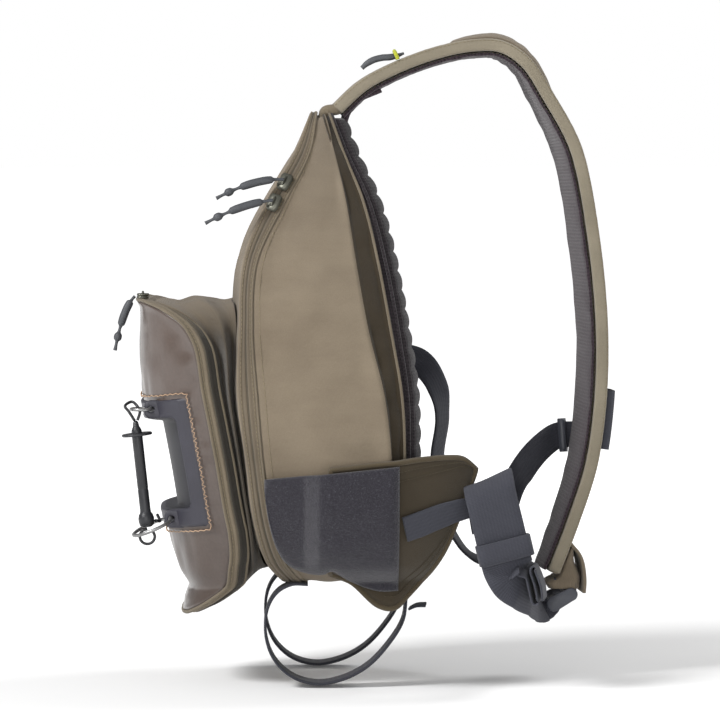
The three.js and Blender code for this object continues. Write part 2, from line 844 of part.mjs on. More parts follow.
// A slab that follows a surface. Its outline is a list of [x, z] pairs, near first and far
// back in mirrored order, so that rungs join top and bottom.
function outlinedSlab(lower, upper, steps, faceY, thickness) {
  const pick = (list, t) => {
    const place = t * (list.length - 1);
    const k = Math.min(Math.floor(place), list.length - 2);
    return [
      mix(list[k][0], list[k + 1][0], place - k),
      mix(list[k][1], list[k + 1][1], place - k),
    ];
  };
  const across = 8;
  const rings = [];
  for (let i = 0; i <= steps; i += 1) {
    const low = pick(lower, i / steps);
    const high = pick(upper, i / steps);
    const column = [];
    for (let j = 0; j <= across; j += 1) {
      column.push([mix(low[0], high[0], j / across), mix(low[1], high[1], j / across)]);
    }
    const outer = column.map(([x, z]) => [x, -(faceY(x, z) + thickness), z]);
    const inner = column.map(([x, z]) => [x, -faceY(x, z), z]).reverse();
    rings.push([...outer, ...inner]);
  }
  return skin(rings);
}

// The hip wing lies on the pack's side and stands off behind it towards the wearer.
const wingStart = -bodyDepth * 0.5;
const wingHinge = -bodyDepth * 0.17;
function wingY(x, z) {
  const height = Math.min(Math.max(z, 2), bodyHeight * 0.35);
  const seated = sideY(Math.min(x, wingHinge), height) + seatGap;
  const swing = Math.max(x - wingHinge, 0);
  return seated - swing * 0.28 - (swing * swing) * 0.0022;
}

const wingX = (share) => mix(wingHinge, wingReach, share);
const wingZ = (share) => bodyHeight * share;
const wingLower = [
  [wingStart, wingZ(0.024)],
  [mix(wingStart, wingHinge, 0.35), wingZ(0.005)],
  [mix(wingStart, wingHinge, 0.8), wingZ(-0.045)],
  [wingX(0.04), wingZ(-0.05)],
  [wingX(0.2), wingZ(-0.024)],
  [wingX(0.42), wingZ(0.02)],
  [wingX(0.62), wingZ(0.075)],
  [wingX(0.79), wingZ(0.15)],
  [wingX(0.97), wingZ(0.235)],
];
const wingUpper = [
  [wingStart, wingZ(0.25)],
  [mix(wingStart, wingHinge, 0.35), wingZ(0.255)],
  [mix(wingStart, wingHinge, 0.8), wingZ(0.262)],
  [wingX(0.05), wingZ(0.265)],
  [wingX(0.25), wingZ(0.27)],
  [wingX(0.45), wingZ(0.273)],
  [wingX(0.65), wingZ(0.274)],
  [wingX(0.84), wingZ(0.27)],
  [wingX(0.99), wingZ(0.248)],
];

function hipWing() {
  return outlinedSlab(wingLower, wingUpper, 12, wingY, wingThickness);
}

// The fly patch covers the pack's lower side and the wing's root.
const patchFront = -bodyDepth * 0.86;
const patchRear = -bodyDepth * 0.13;
function patchY(x, z) {
  const height = Math.min(Math.max(z, 2), bodyHeight * 0.35);
  const bare = sideY(Math.min(x, wingHinge), height) + seatGap;
  const overWing = wingThickness + clearance * 3;
  const ramp = Math.min(Math.max((x - wingStart + 20) / 12, 0), 1);
  const back = Math.max(x - wingHinge, 0) * 0.28;
  return bare - back + 2.2 + overWing * ramp;
}

const patchX = (share) => mix(patchFront, patchRear, share);
const patchLower = [
  [patchX(0), wingZ(0.205)],
  [patchX(0.03), wingZ(0.14)],
  [patchX(0.09), wingZ(0.08)],
  [patchX(0.17), wingZ(0.045)],
  [patchX(0.3), wingZ(0.026)],
  [patchX(0.44), wingZ(0.024)],
  [patchX(0.5), wingZ(0.032)],
  [patchX(0.64), wingZ(0.008)],
  [patchX(0.84), wingZ(-0.012)],
  [patchX(1), wingZ(-0.012)],
];
const patchUpper = patchLower.map((_, i) => {
  const share = i / (patchLower.length - 1);
  return [patchX(share), wingZ(mix(0.229, 0.26, share))];
});

function flyPatch() {
  return outlinedSlab(patchLower, patchUpper, 14, patchY, patchThickness);
}

const strapEnd = onStrap(1, 0, strapThickness / 2);
const wingOuter = (x, z) => -(wingY(x, z) + wingThickness);

// Slope of the wing's face across a strip that lies on it at x, z.
function wingAcross(x, z) {
  const half = narrowWebbing / 2;
  return [0, -(wingY(x, z + half) - wingY(x, z - half)), narrowWebbing];
}

// Webbing along the wing from the patch; its end is sewn into the wide webbing's fold.
function wingWebbing() {
  const proud = webbingThickness / 2 + 4 * clearance;
  const onWing = [
    { x: 0.15, z: 0.125, width: 1 },
    { x: 0.32, z: 0.135, width: 1 },
    { x: 0.55, z: 0.15, width: 0.95 },
    { x: 0.78, z: 0.162, width: 0.85 },
    { x: 0.95, z: 0.167, width: 0.75 },
  ];
  const outside = onWing.map(({ x, z, width }) => ({
    at: [wingX(x), wingOuter(wingX(x), wingZ(z)) - proud, wingZ(z)],
    across: wingAcross(wingX(x), wingZ(z)),
    width: narrowWebbing * width,
  }));
  const end = outside[outside.length - 1].at;
  const inFold = [
    [9, 1.6, 2],
    [17, 3.4, 4],
  ].map(([x, y, z]) => ({
    at: [end[0] + x, end[1] + y, end[2] + z],
    across: [-0.2, 0, 1],
    width: narrowWebbing * 0.7,
  }));
  return strip([...outside, ...inFold], webbingThickness, 16);
}

// The wide sling webbing folds over that end, hangs down, turns under and runs to the buckle.
// y is in millimetres from the fold, or left out for the buckle's own line.
const fold = [wingReach + 12.5, wingOuter(wingReach, wingZ(0.2)) - 5, wingZ(0.219)];
const buckle = [strapEnd[0] - 2, 0, strapEnd[2] - 18];
const slant = [0.82, 0.38, 0.36];
const slingRows = [
  { x: 0.03, y: 15, z: 0.62, across: slant },
  { x: 0.01, y: 14, z: 0.92, across: slant },
  { x: 0, y: 2.5, z: 1.03, across: slant },
  { x: 0.02, y: -8.5, z: 0.94, across: slant },
  { x: 0.13, y: -10, z: 0.68, across: slant },
  { x: 0.21, y: -10, z: 0.46, across: slant },
  { x: 0.25, y: -7, z: 0.24, across: slant },
  { x: 0.29, y: 2, z: 0.07, across: [0.74, 0.6, 0.25] },
  { x: 0.37, y: 18, z: -0.01, across: [0.75, 0.62, 0.12] },
  { x: 0.48, y: 42, z: -0.04, across: [0.7, 0.7, 0.03] },
  { x: 0.61, y: 68, z: -0.045, across: [0.5, 0.85, 0] },
  { x: 0.74, y: 90, z: -0.03, across: [0.2, 0.98, 0] },
  { x: 0.86, z: -0.015, across: [0, 1, 0] },
  { x: 1.02, z: -0.02, across: [0, 1, 0] },
];

function slingPoint({ x, y, z }) {
  return [
    mix(fold[0], buckle[0], x),
    y === undefined ? buckle[1] : fold[1] + y,
    mix(buckle[2], fold[2], z),
  ];
}

function slingWebbing() {
  const sections = slingRows.map((row) => ({
    at: slingPoint(row),
    across: row.across,
    width: wideWebbing,
  }));
  return strip(sections, webbingThickness, 39);
}

// A hollow band of webbing or plastic round a strap: half sizes along its three directions.
function sleeve({ centre, along, across, halfLength, halfWidth, halfDepth, wall }) {
  const run = new THREE.Vector3(...along).normalize();
  const side = new THREE.Vector3(...across);
  side.addScaledVector(run, -side.dot(run)).normalize();
  const lift = new THREE.Vector3().crossVectors(run, side);
  const middle = new THREE.Vector3(...centre);
  const ringAt = (length, grow) => {
    const [w, d] = [halfWidth + grow, halfDepth + grow];
    const round = Math.min(w, d) * 0.35;
    const corners = [
      [w - round, d],
      [w, d - round],
      [w, round - d],
      [w - round, -d],
      [round - w, -d],
      [-w, round - d],
      [-w, d - round],
      [round - w, d],
    ];
    return corners.map(([u, v]) =>
      middle
        .clone()
        .addScaledVector(run, length)
        .addScaledVector(side, u)
        .addScaledVector(lift, v)
        .toArray(),
    );
  };
  return skin(
    [
      ringAt(-halfLength, wall),
      ringAt(halfLength, wall),
      ringAt(halfLength, 0),
      ringAt(-halfLength, 0),
    ],
    true,
  );
}

function webbingKeeper() {
  const low = slingPoint(slingRows[5]);
  const high = slingPoint(slingRows[4]);
  return sleeve({
    centre: [low[0] + 1, low[1] + 1.8, low[2] + 2],
    along: high.map((value, i) => value - low[i]),
    across: slant,
    halfLength: 8,
    halfWidth: wideWebbing / 2 + 3.2,
    halfDepth: 6.4,
    wall: 1.2,
  });
}

// The webbing's free end hangs from the keeper in a folded loop.
function webbingTail() {
  const low = slingPoint(slingRows[5]);
  const rows = [
    { at: [0.4, 5.2, 9], across: slant },
    { at: [1.6, 6, -8], across: slant },
    { at: [10, 10.5, -16.5], across: [0.8, 0.42, 0.3] },
    { at: [22.5, 19, -28], across: [0.3, 0.95, 0] },
    { at: [28, 22, -42], across: [0.25, 0.97, 0] },
    { at: [30, 23, -48], across: [0.25, 0.97, 0] },
    { at: [32.5, 23, -44], across: [0.25, 0.97, 0] },
    { at: [32, 22, -30], across: [0.3, 0.95, 0] },
    { at: [28.5, 19, -14], across: [0.4, 0.9, 0] },
  ];
  const sections = rows.map(({ at, across }) => ({
    at: at.map((value, i) => low[i] + value),
    across,
    width: wideWebbing - 7,
  }));
  return strip(sections, webbingThickness * 0.8, 22);
}

// The buckle under the strap's end: two cheeks joined by two bars.
function roundBar(from, to, diameter, sides = 8) {
  const length = Math.hypot(...to.map((value, i) => value - from[i]));
  const profile = [
    [0, 0],
    [diameter / 2, 0],
    [diameter / 2, length],
    [0, length],
  ];
  return along(turned(profile, sides), from, to.map((value, i) => value - from[i]));
}

const lockHalf = wideWebbing / 2 + 1.5;
const cheek = 3.5;
const lockBars = [
  [6, 0, -3],
  [17, 0, 3],
];

function ladderLock() {
  const outline = new THREE.Shape([
    ...arc([buckle[0] + 5, buckle[2] - 4], 6, Math.PI * 0.6, Math.PI * 1.6, 6),
    ...arc([buckle[0] + 18, buckle[2] + 3], 5, Math.PI * 1.6, Math.PI * 2.6, 6),
  ]);
  const plate = (y) => {
    const geometry = new THREE.ExtrudeGeometry(outline, { depth: cheek, bevelEnabled: false });
    geometry.rotateX(Math.PI / 2);
    geometry.translate(0, y + cheek, 0);
    return solidOf(geometry);
  };
  let lock = plate(-lockHalf - cheek).add(plate(lockHalf));
  for (const [x, , z] of lockBars) {
    const end = (side) => [buckle[0] + x, side * (lockHalf + cheek / 2), buckle[2] + z];
    lock = lock.add(solidOf(roundBar(end(-1), end(1), 4.4)));
  }
  return geometryOf(lock);
}

// Webbing from the strap's end round the buckle's rear bar.
function anchorWebbing() {
  const [x, , z] = lockBars[1];
  const bar = [buckle[0] + x, buckle[2] + z];
  const reach = 2.2 + webbingThickness / 2 + 2 * clearance;
  const points = [
    [strapEnd[0] + 3.4, strapEnd[2] - 3.2],
    [bar[0] - reach, bar[1] + 5],
    ...[1, 1.25, 1.5, 1.75, 2].map((turn) => [
      bar[0] + reach * Math.cos(turn * Math.PI),
      bar[1] + reach * Math.sin(turn * Math.PI),
    ]),
    [bar[0] + reach + 0.6, bar[1] + 6],
    [bar[0] + reach - 0.4, bar[1] + 12],
  ];
  const sections = points.map(([px, pz]) => ({
    at: [px, 0, pz],
    across: [0, 1, 0],
    width: wideWebbing,
  }));
  return strip(sections, webbingThickness, 24);
}

// A cloth flap from the strap's outer face down over its end and the buckle's webbing.
function anchorTab() {
  const thick = 2.5;
  const [top, , topZ] = onStrap(0.955, 0, -layerGap - thick / 2);
  const [endX, , endZ] = strapEnd;
  const { inward, lean } = strapAt(0.955);
  const points = [
    [top, topZ],
    [top + 5.5, topZ - 7],
    [endX + 23.5, endZ + 9],
    [endX + 25, endZ - 4],
    [endX + 24.4, endZ - 14],
  ];
  const sections = points.map(([x, z]) => ({
    at: [x, 0, z],
    across: [inward[0] * lean, 1, inward[1] * lean],
    width: wideWebbing + 6,
  }));
  return strip(sections, thick, 10);
}

// Flat tabs on the strap's outer face, between two places along it.
function strapPlate({ from, to, left, right, lift, thickness, steps = 4 }) {
  const rings = [];
  for (let i = 0; i <= steps; i += 1) {
    const t = mix(from, to, i / steps);
    rings.push([
      onStrap(t, left, -lift),
      onStrap(t, right, -lift),
      onStrap(t, right, -lift - thickness),
      onStrap(t, left, -lift - thickness),
    ]);
  }
  return skin(rings);
}

// A flat sleeve for a tool on the strap's outer face, open at both ends.
function toolSleeve() {
  const steps = 5;
  const wall = 1.6;
  const depth = 9.2;
  const [left, right] = [-0.74, 0.05];
  const inset = wall / (strapWidth / 2);
  const ringAt = (t, grow) => [
    onStrap(t, left + grow, -clearance - wall * (grow ? 1 : 0)),
    onStrap(t, right - grow, -clearance - wall * (grow ? 1 : 0)),
    onStrap(t, right - grow - 0.06, -clearance - depth + wall * (grow ? 1 : 0)),
    onStrap(t, left + grow + 0.06, -clearance - depth + wall * (grow ? 1 : 0)),
  ];
  const places = [];
  for (let i = 0; i <= steps; i += 1) places.push(mix(0.775, 0.838, i / steps));
  const outer = places.map((t) => ringAt(t, 0));
  const inner = places.toReversed().map((t) => ringAt(t, inset));
  return skin([...outer, ...inner], true);
}

// Bodies of round section whose radius changes along their points.
function swell(rows, sides = 8) {
  const points = rows.map(({ at }) => new THREE.Vector3(...at));
  const rings = points.map((point, i) => {
    const before = points[Math.max(i - 1, 0)];
    const after = points[Math.min(i + 1, points.length - 1)];
    const run = after.clone().sub(before).normalize();
    const side = new THREE.Vector3(0.2, 1, 0.1);
    side.addScaledVector(run, -side.dot(run)).normalize();
    const lift = new THREE.Vector3().crossVectors(run, side);
    const ring = [];
    for (let k = 0; k < sides; k += 1) {
      const angle = (2 * Math.PI * k) / sides;
      ring.push(
        point
          .clone()
          .addScaledVector(side, rows[i].radius * Math.cos(angle))
          .addScaledVector(lift, rows[i].radius * Math.sin(angle))
          .toArray(),
      );
    }
    return ring;
  });
  return skin(rings);
}

// Place, run and outward direction on the middle of the main zip's near side at a height.
function zipFrame(z) {
  const place = (height) => {
    const width = (bodyHalf(height) * (panelShare + zipShare)) / 2;
    return new THREE.Vector3(
      (bodyX("front", height) + bodyX("rear", height)) / 2,
      -width,
      height,
    );
  };
  const run = place(z + 4).sub(place(z - 4)).normalize();
  const across = new THREE.Vector3(1, -0.3, 0).normalize();
  const out = new THREE.Vector3().crossVectors(across, run).normalize();
  if (out.y > 0) out.negate();
  return { at: place(z), run, out };
}

const sliderHeight = 4;
const sliderLift = 0.9;
function slider({ at, run, out }) {
  const shape = new THREE.Shape([
    new THREE.Vector2(-3, -6.5),
    new THREE.Vector2(3, -6.5),
    new THREE.Vector2(4.6, -1),
    new THREE.Vector2(4.6, 5),
    new THREE.Vector2(2.5, 6.5),
    new THREE.Vector2(-2.5, 6.5),
    new THREE.Vector2(-4.6, 5),
    new THREE.Vector2(-4.6, -1),
  ]);
  const geometry = new THREE.ExtrudeGeometry(shape, { depth: sliderHeight, bevelEnabled: false });
  const side = new THREE.Vector3().crossVectors(run, out);
  geometry.applyMatrix4(new THREE.Matrix4().makeBasis(side, run, out));
  const lifted = at.clone().addScaledVector(out, sliderLift);
  geometry.translate(...lifted.toArray());
  return geometry;
}

// A zip pull: cord from the slider, a moulded grip, a knot and a cord end.
const pullRows = [
  { along: 0, radius: 1.2 },
  { along: 0.16, radius: 1.3 },
  { along: 0.2, radius: 2.6 },
  { along: 0.42, radius: 3.1 },
  { along: 0.64, radius: 2.7 },
  { along: 0.68, radius: 1.3 },
  { along: 0.76, radius: 1.4 },
  { along: 0.8, radius: 2.9 },
  { along: 0.86, radius: 2.9 },
  { along: 0.89, radius: 1.4 },
  { along: 1, radius: 1.5 },
];

function pull(start, bend, end) {
  const curve = new THREE.QuadraticBezierCurve3(
    new THREE.Vector3(...start),
    new THREE.Vector3(...bend),
    new THREE.Vector3(...end),
  );
  return swell(
    pullRows.map(({ along: t, radius }) => ({ at: curve.getPoint(t).toArray(), radius })),
    6,
  );
}

const sliderShares = { upper: 0.849, lower: 0.806 };
function mainPull(share, rise) {
  const { at, out } = zipFrame(bodyHeight * share);
  const start = at.clone().addScaledVector(out, sliderHeight + sliderLift + 1.6);
  return pull(
    start.toArray(),
    [start.x - 22, start.y - 6, start.z - 2 + rise],
    [start.x - 50, start.y - 4, start.z - 17 + rise],
  );
}

// The pocket's slider sits at the front of its zip, beside the middle.
const pocketSliderY = -pocketWidth * 0.13;
function pocketSliderFrame() {
  const top = pocketZ(1);
  const x = bandX(top) - bow(pocketSliderY) - pocketZipWidth * 0.7;
  return {
    at: new THREE.Vector3(x, pocketSliderY, sunk(pocketSliderY, top) + 0.4),
    run: new THREE.Vector3(0, 1, 0),
    out: new THREE.Vector3(0, 0, 1),
  };
}

function pocketPull() {
  const { at } = pocketSliderFrame();
  return pull(
    [at.x - 6.1, at.y, at.z + 2.6],
    [at.x - 15, at.y - 3, at.z - 6],
    [at.x - 21, at.y - 5, at.z - 38],
  );
}

// A bright loop on the strap's outer face with a rubber pull through it.
const loopPlace = 0.15;
const loopSide = -0.82;
function strapLoop() {
  const rise = [
    [-0.14, -0.6],
    [-0.12, -4.6],
    [0, -6.8],
    [0.12, -4.6],
    [0.14, -0.6],
  ];
  return tube(
    rise.map(([side, depth]) => onStrap(loopPlace + 0.01, loopSide + side, depth)),
    2,
    6,
    10,
  );
}

function strapPull() {
  const rows = [
    { t: 0.024, depth: -3.1, radius: 1 },
    { t: 0.012, depth: -3.2, radius: 1.3 },
    { t: 0, depth: -4.6, radius: 1.4 },
    { t: -0.02, depth: -7.5, radius: 2.5 },
    { t: -0.045, depth: -9.5, radius: 2.6 },
    { t: -0.07, depth: -9, radius: 2.2 },
    { t: -0.09, depth: -7, radius: 1.2 },
  ];
  return swell(
    rows.map(({ t, depth, radius }) => ({
      at: onStrap(loopPlace + t, loopSide, depth),
      radius,
    })),
    6,
  );
}

// The stabiliser strap: from the pad's far edge down in a loop and up to the shoulder strap.
const padEdgeY = bodyHalf(bodyHeight * 0.457) * seamShare;
const padEdgeX = bodyX("back", bodyHeight * 0.457);
const stabiliserEnd = onStrap(0.832, 1, strapThickness * 0.5);
// x and y are shares of the way from the pad's edge to the shoulder strap, z of the pack's height.
const stabiliserRows = [
  { x: 0.036, y: -0.038, z: 0.457, across: [0, 0, 1] },
  { x: 0.131, y: -0.074, z: 0.443, across: [0, 0.1, 1] },
  { x: 0.225, y: -0.044, z: 0.389, across: [0.5, 0.5, 0.6] },
  { x: 0.253, y: 0, z: 0.32, across: [0.5, 0.8, 0.1] },
  { x: 0.225, y: 0.059, z: 0.234, across: [0.5, 0.85, 0] },
  { x: 0.239, y: 0.236, z: 0.149, across: [0.4, 0.9, 0] },
  { x: 0.289, y: 0.502, z: 0.08, across: [0.2, 0.95, 0] },
  { x: 0.375, y: 0.767, z: 0.034, across: [0.1, 1, 0] },
  { x: 0.476, y: 1.033, z: 0.023, across: [0, 1, 0.1] },
  { x: 0.555, y: 1.298, z: 0.049, across: [-0.2, 0.9, 0.2] },
  { x: 0.583, y: 1.446, z: 0.114, across: [-0.5, 0.75, 0.1] },
  { x: 0.619, y: 1.416, z: 0.183, across: [-0.5, 0.6, 0.4] },
  { x: 0.691, y: 1.239, z: 0.231, across: [-0.35, 0.35, 0.8] },
  { x: 0.784, y: 1.062, z: 0.269, across: [-0.2, 0.2, 0.9] },
];
// The last rows lie at these distances from the shoulder strap's far edge.
const stabiliserJoin = [
  { off: [-17.1, 4.8, -0.1], across: [-0.15, 0.1, 1] },
  { off: [-4, 2.2, 1], across: [-0.1, 0, 1] },
];

function stabiliserStrap() {
  const loose = stabiliserRows.map(({ x, y, z, across }) => ({
    at: [
      mix(padEdgeX, stabiliserEnd[0], x),
      mix(padEdgeY, stabiliserEnd[1], y),
      bodyHeight * z,
    ],
    across,
  }));
  const joined = stabiliserJoin.map(({ off, across }) => ({
    at: stabiliserEnd.map((value, i) => value + off[i]),
    across,
  }));
  const sections = [...loose, ...joined].map((row) => ({ ...row, width: narrowWebbing }));
  return strip(sections, webbingThickness, 32);
}

// The small bar that the strap runs through, a little up from the first row of the join
function stabiliserBuckle() {
  const barLift = 3.5;
  const [near, far] = stabiliserJoin.map(({ off }) => off);
  const run = far.map((value, i) => value - near[i]);
  const up = barLift / Math.hypot(...run);
  return sleeve({
    centre: stabiliserEnd.map((value, i) => value + near[i] + run[i] * up),
    along: run,
    across: stabiliserJoin[0].across,
    halfLength: 3,
    halfWidth: narrowWebbing / 2 + 1.2,
    halfDepth: webbingThickness / 2 + 2.4,
    wall: 2,
  });
}

// Bottle cradle: a strap round a bottle's place under the pack. reach is a share of the
// bottle's radius, and the angle runs from the pack's front round below to its back.
const cradleRows = [
  { angle: 100, reach: 1 },
  { angle: 117, reach: 1.09 },
  { angle: 134, reach: 1.13 },
  { angle: 153, reach: 1.1 },
  { angle: 182, reach: 1.03 },
  { angle: 212, reach: 1.02 },
  { angle: 241, reach: 1.03 },
  { angle: 270, reach: 1.05 },
  { angle: 300, reach: 1.1 },
  { angle: 327, reach: 1.25 },
  { angle: 352, reach: 1.5 },
  { angle: 367.5, reach: 1.76 },
  { angle: 379, reach: 1.91 },
  { angle: 388, reach: 2.06 },
];
const bottleX = -bodyDepth * 0.575;
const bottleZ = -bottleDiameter / 2;
function cradlePoint({ angle, reach }) {
  const turn = (angle * Math.PI) / 180;
  const radius = (bottleDiameter / 2) * reach;
  return [bottleX + radius * Math.cos(turn), bottleZ + radius * Math.sin(turn)];
}

function cradleStrap(side) {
  const sections = cradleRows.map((row) => {
    const [x, z] = cradlePoint(row);
    return {
      at: [x, (side * cradleSpacing) / 2, Math.min(z, -webbingThickness / 2 - clearance)],
      across: [0, 1, 0],
      width: cradleWebbing,
    };
  });
  return strip(sections, webbingThickness, 30);
}

function cradleTail() {
  const [x, z] = cradlePoint({ angle: 379, reach: 1.91 });
  const y = -cradleSpacing / 2 - 4;
  const sections = [
    { at: [x + 2.6, y, z - 6], across: [0, 1, 0], width: 12 },
    { at: [x + 8, y - 1, z - 3.5], across: [0.1, 1, 0.1], width: 12 },
    { at: [x + 15, y - 2, z - 3], across: [0.1, 1, 0.2], width: 9 },
  ];
  return strip(sections, webbingThickness * 0.8, 6);
}

function tippetClip() {
  const ringRadius = lowerRingDiameter / 2;
  const points = [
    [postFoot[0] + 6.9, postFoot[1] + 2, postFoot[2] - 3.2],
    [postFoot[0] + 10, postFoot[1] + 6, postFoot[2] - 4],
    [postFoot[0] + 9.5, lugY + ringRadius - 5, postFoot[2] - 3],
    [postFoot[0] + 8, lugY + ringRadius + 0.5, postFoot[2] - 0.5],
  ];
  return tube(points, 2.4, 6, 10);
}

const upperEyelet = eyelet(upperRail);
const lowerEyelet = eyelet(lowerRail);
const lowerTilt = -0.4;
const upperRing = wireRing(
  [upperEyelet[0] - upperRingDiameter / 2, upperEyelet[1], upperEyelet[2]],
  upperRingDiameter,
  0,
  0,
);
const lowerRing = wireRing(
  [
    lowerEyelet[0] - (lowerRingDiameter / 2) * Math.cos(lowerTilt),
    lowerEyelet[1],
    lowerEyelet[2] + (lowerRingDiameter / 2) * Math.sin(lowerTilt),
  ],
  lowerRingDiameter,
  lowerTilt,
  0.1,
);

addPart("front_panel", frontPanel(), taupe);
addPart("main_zip", mainZip(), paleTaupe);
addPart("rear_shell", rearShell(), taupe);
addPart("back_pad", backPad(), plum);
for (const [place, share] of Object.entries(sliderShares)) {
  addPart(`main_slider_${place}`, slider(zipFrame(bodyHeight * share)), gunmetal);
  addPart(`main_pull_${place}`, mainPull(share, place === "upper" ? 3 : 0), pullRubber);
}
addPart("pocket_gusset", pocketGusset(), taupe);
addPart("pocket_zip", pocketZip(), paleTaupe);
addPart("pocket_slider", slider(pocketSliderFrame()), gunmetal);
addPart("pocket_pull", pocketPull(), pullRubber);
addPart("pocket_lid", lidWithWindow(), coated);
addPart("tippet_dock", tippetDock(), moulded);
addPart("ring_upper", upperRing, wire);
addPart("ring_lower", lowerRing, wire);
addPart("tippet_post", tippetPost(), blackPlastic);
addPart("tippet_stop", tippetStop(), blackPlastic);
addPart("tippet_loop", tippetLoop(), blackPlastic);
addPart("tippet_hook", tippetHook(), blackPlastic);
addPart("tippet_clip", tippetClip(), blackPlastic);
addPart("shoulder_strap", strapLayer(0, strapThickness, 0), paleTaupe);
addPart(
  "strap_mesh",
  strapLayer(strapThickness + layerGap, strapThickness + layerGap + meshThickness, meshInset),
  plum,
);
addPart("strap_pocket", strapPocket(), taupe);
addPart("strap_loop", strapLoop(), lime);
addPart("strap_pull", strapPull(), pullRubber);
addPart(
  "strap_tab",
  strapPlate({
    from: 0.752,
    to: 0.768,
    left: -0.6,
    right: -0.1,
    lift: clearance,
    thickness: 3,
    steps: 2,
  }),
  taupe,
);
addPart("tool_sleeve", toolSleeve(), slate);
addPart("anchor_tab", anchorTab(), taupe);
addPart("anchor_webbing", anchorWebbing(), slate);
addPart("ladder_lock", ladderLock(), blackPlastic);
addPart("hip_wing", hipWing(), taupe);
addPart("fly_patch", flyPatch(), felt);
addPart("wing_webbing", wingWebbing(), slate);
addPart("sling_webbing", slingWebbing(), slate);
addPart("webbing_keeper", webbingKeeper(), slate);
addPart("webbing_tail", webbingTail(), slate);
addPart("stabiliser_strap", stabiliserStrap(), slate);
addPart("stabiliser_buckle", stabiliserBuckle(), blackPlastic);
addPart("cradle_strap_near", cradleStrap(-1), slate);
addPart("cradle_strap_far", cradleStrap(1), slate);
addPart("cradle_tail", cradleTail(), slate);

// The strap rests on a shoulder under its highest stretch: that place is the origin.
const shoulderRest = onStrap(0.33, 0, strapThickness + layerGap + meshThickness);
bag.position.set(-shoulderRest[0], -shoulderRest[1], -shoulderRest[2]);

const slingBag = new THREE.Group();
slingBag.add(bag);

export default slingBag;
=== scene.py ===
import math

import bmesh
import bpy
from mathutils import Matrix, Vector, noise


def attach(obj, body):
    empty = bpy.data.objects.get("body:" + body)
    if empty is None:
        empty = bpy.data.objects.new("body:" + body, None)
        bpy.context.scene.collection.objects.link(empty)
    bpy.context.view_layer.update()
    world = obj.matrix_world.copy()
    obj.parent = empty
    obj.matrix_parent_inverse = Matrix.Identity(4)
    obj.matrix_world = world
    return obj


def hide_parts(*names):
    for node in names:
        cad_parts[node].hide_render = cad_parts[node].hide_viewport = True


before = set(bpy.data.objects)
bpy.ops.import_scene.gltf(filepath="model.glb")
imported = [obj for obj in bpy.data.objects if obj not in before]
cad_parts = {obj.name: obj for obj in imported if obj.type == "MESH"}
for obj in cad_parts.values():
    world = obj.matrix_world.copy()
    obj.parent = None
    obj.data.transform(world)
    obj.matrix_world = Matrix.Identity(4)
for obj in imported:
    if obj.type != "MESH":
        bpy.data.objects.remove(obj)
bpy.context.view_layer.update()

REST = (53.36, 0.0, 391.49)  # the place under the strap that rests on a shoulder


def metres(point):
    return Vector([(point[k] - REST[k]) / 1000 for k in range(3)])


def mix(a, b, t):
    return a + (b - a) * t


def clamp(value, low=0.0, high=1.0):
    return min(max(value, low), high)


def ease(t):
    t = clamp(t)
    return t * t * (3 - 2 * t)


def even(first, last, steps):
    """Values from first to last in even steps."""
    return [mix(first, last, i / steps) for i in range(steps + 1)]


def around(count):
    """Cosine and sine of even steps round a circle."""
    angles = [2 * math.pi * k / count for k in range(count)]
    return [(math.cos(angle), math.sin(angle)) for angle in angles]


def signed_power(value, power):
    return math.copysign(abs(value) ** power, value)


def noise_at(x, y, z):
    """Smooth noise, about -1 to 1."""
    return noise.noise(Vector((x, y, z)))


# Tables and curves

def lookup(rows, column, at):
    """Smooth value of one column of a table at a place along its first column."""
    if at <= rows[0][0]:
        return rows[0][column]
    if at >= rows[-1][0]:
        return rows[-1][column]
    k = next(i for i, row in enumerate(rows) if row[0] > at) - 1

    def slope(i):
        a, b = rows[max(i - 1, 0)], rows[min(i + 1, len(rows) - 1)]
        return (b[column] - a[column]) / (b[0] - a[0])

    a, b = rows[k], rows[k + 1]
    span = b[0] - a[0]
    t = (at - a[0]) / span
    t2, t3 = t * t, t * t * t
    return (
        (2 * t3 - 3 * t2 + 1) * a[column]
        + (t3 - 2 * t2 + t) * span * slope(k)
        + (3 * t2 - 2 * t3) * b[column]
        + (t3 - t2) * span * slope(k + 1)
    )


def curve_point(points, t):
    """A point of the centripetal curve through points, t from 0 to 1."""
    last = len(points) - 1
    place = clamp(t) * last
    k = min(int(place), last - 1)
    w = place - k
    p1, p2 = points[k], points[k + 1]
    p0 = points[k - 1] if k > 0 else p1 * 2 - p2
    p3 = points[k + 2] if k + 2 <= last else p2 * 2 - p1
    gaps = [max((b - a).length_squared, 1e-9) ** 0.25 for a, b in ((p0, p1), (p1, p2), (p2, p3))]
    d0, d1, d2 = gaps
    m1 = ((p1 - p0) / d0 - (p2 - p0) / (d0 + d1) + (p2 - p1) / d1) * d1
    m2 = ((p2 - p1) / d1 - (p3 - p1) / (d1 + d2) + (p3 - p2) / d2) * d1
    w2, w3 = w * w, w * w * w
    return p1 + m1 * w + (p2 * 3 - p1 * 3 - m1 * 2 - m2) * w2 + (p1 * 2 - p2 * 2 + m1 + m2) * w3


def curve_run(points, t):
    return (curve_point(points, t + 1e-3) - curve_point(points, t - 1e-3)).normalized()


def spaced(points, count, closed=False):
    """Points at even steps along a line of points."""
    line = [Vector(p) for p in points]
    if closed:
        line.append(line[0].copy())
    reach = [0.0]
    for a, b in zip(line, line[1:]):
        reach.append(reach[-1] + (b - a).length)
    made = []
    k = 0
    steps = count if closed else count - 1
    for i in range(count):
        want = reach[-1] * i / steps
        while k < len(reach) - 2 and reach[k + 1] < want:
            k += 1
        span = max(reach[k + 1] - reach[k], 1e-9)
        made.append(line[k].lerp(line[k + 1], (want - reach[k]) / span))
    return made


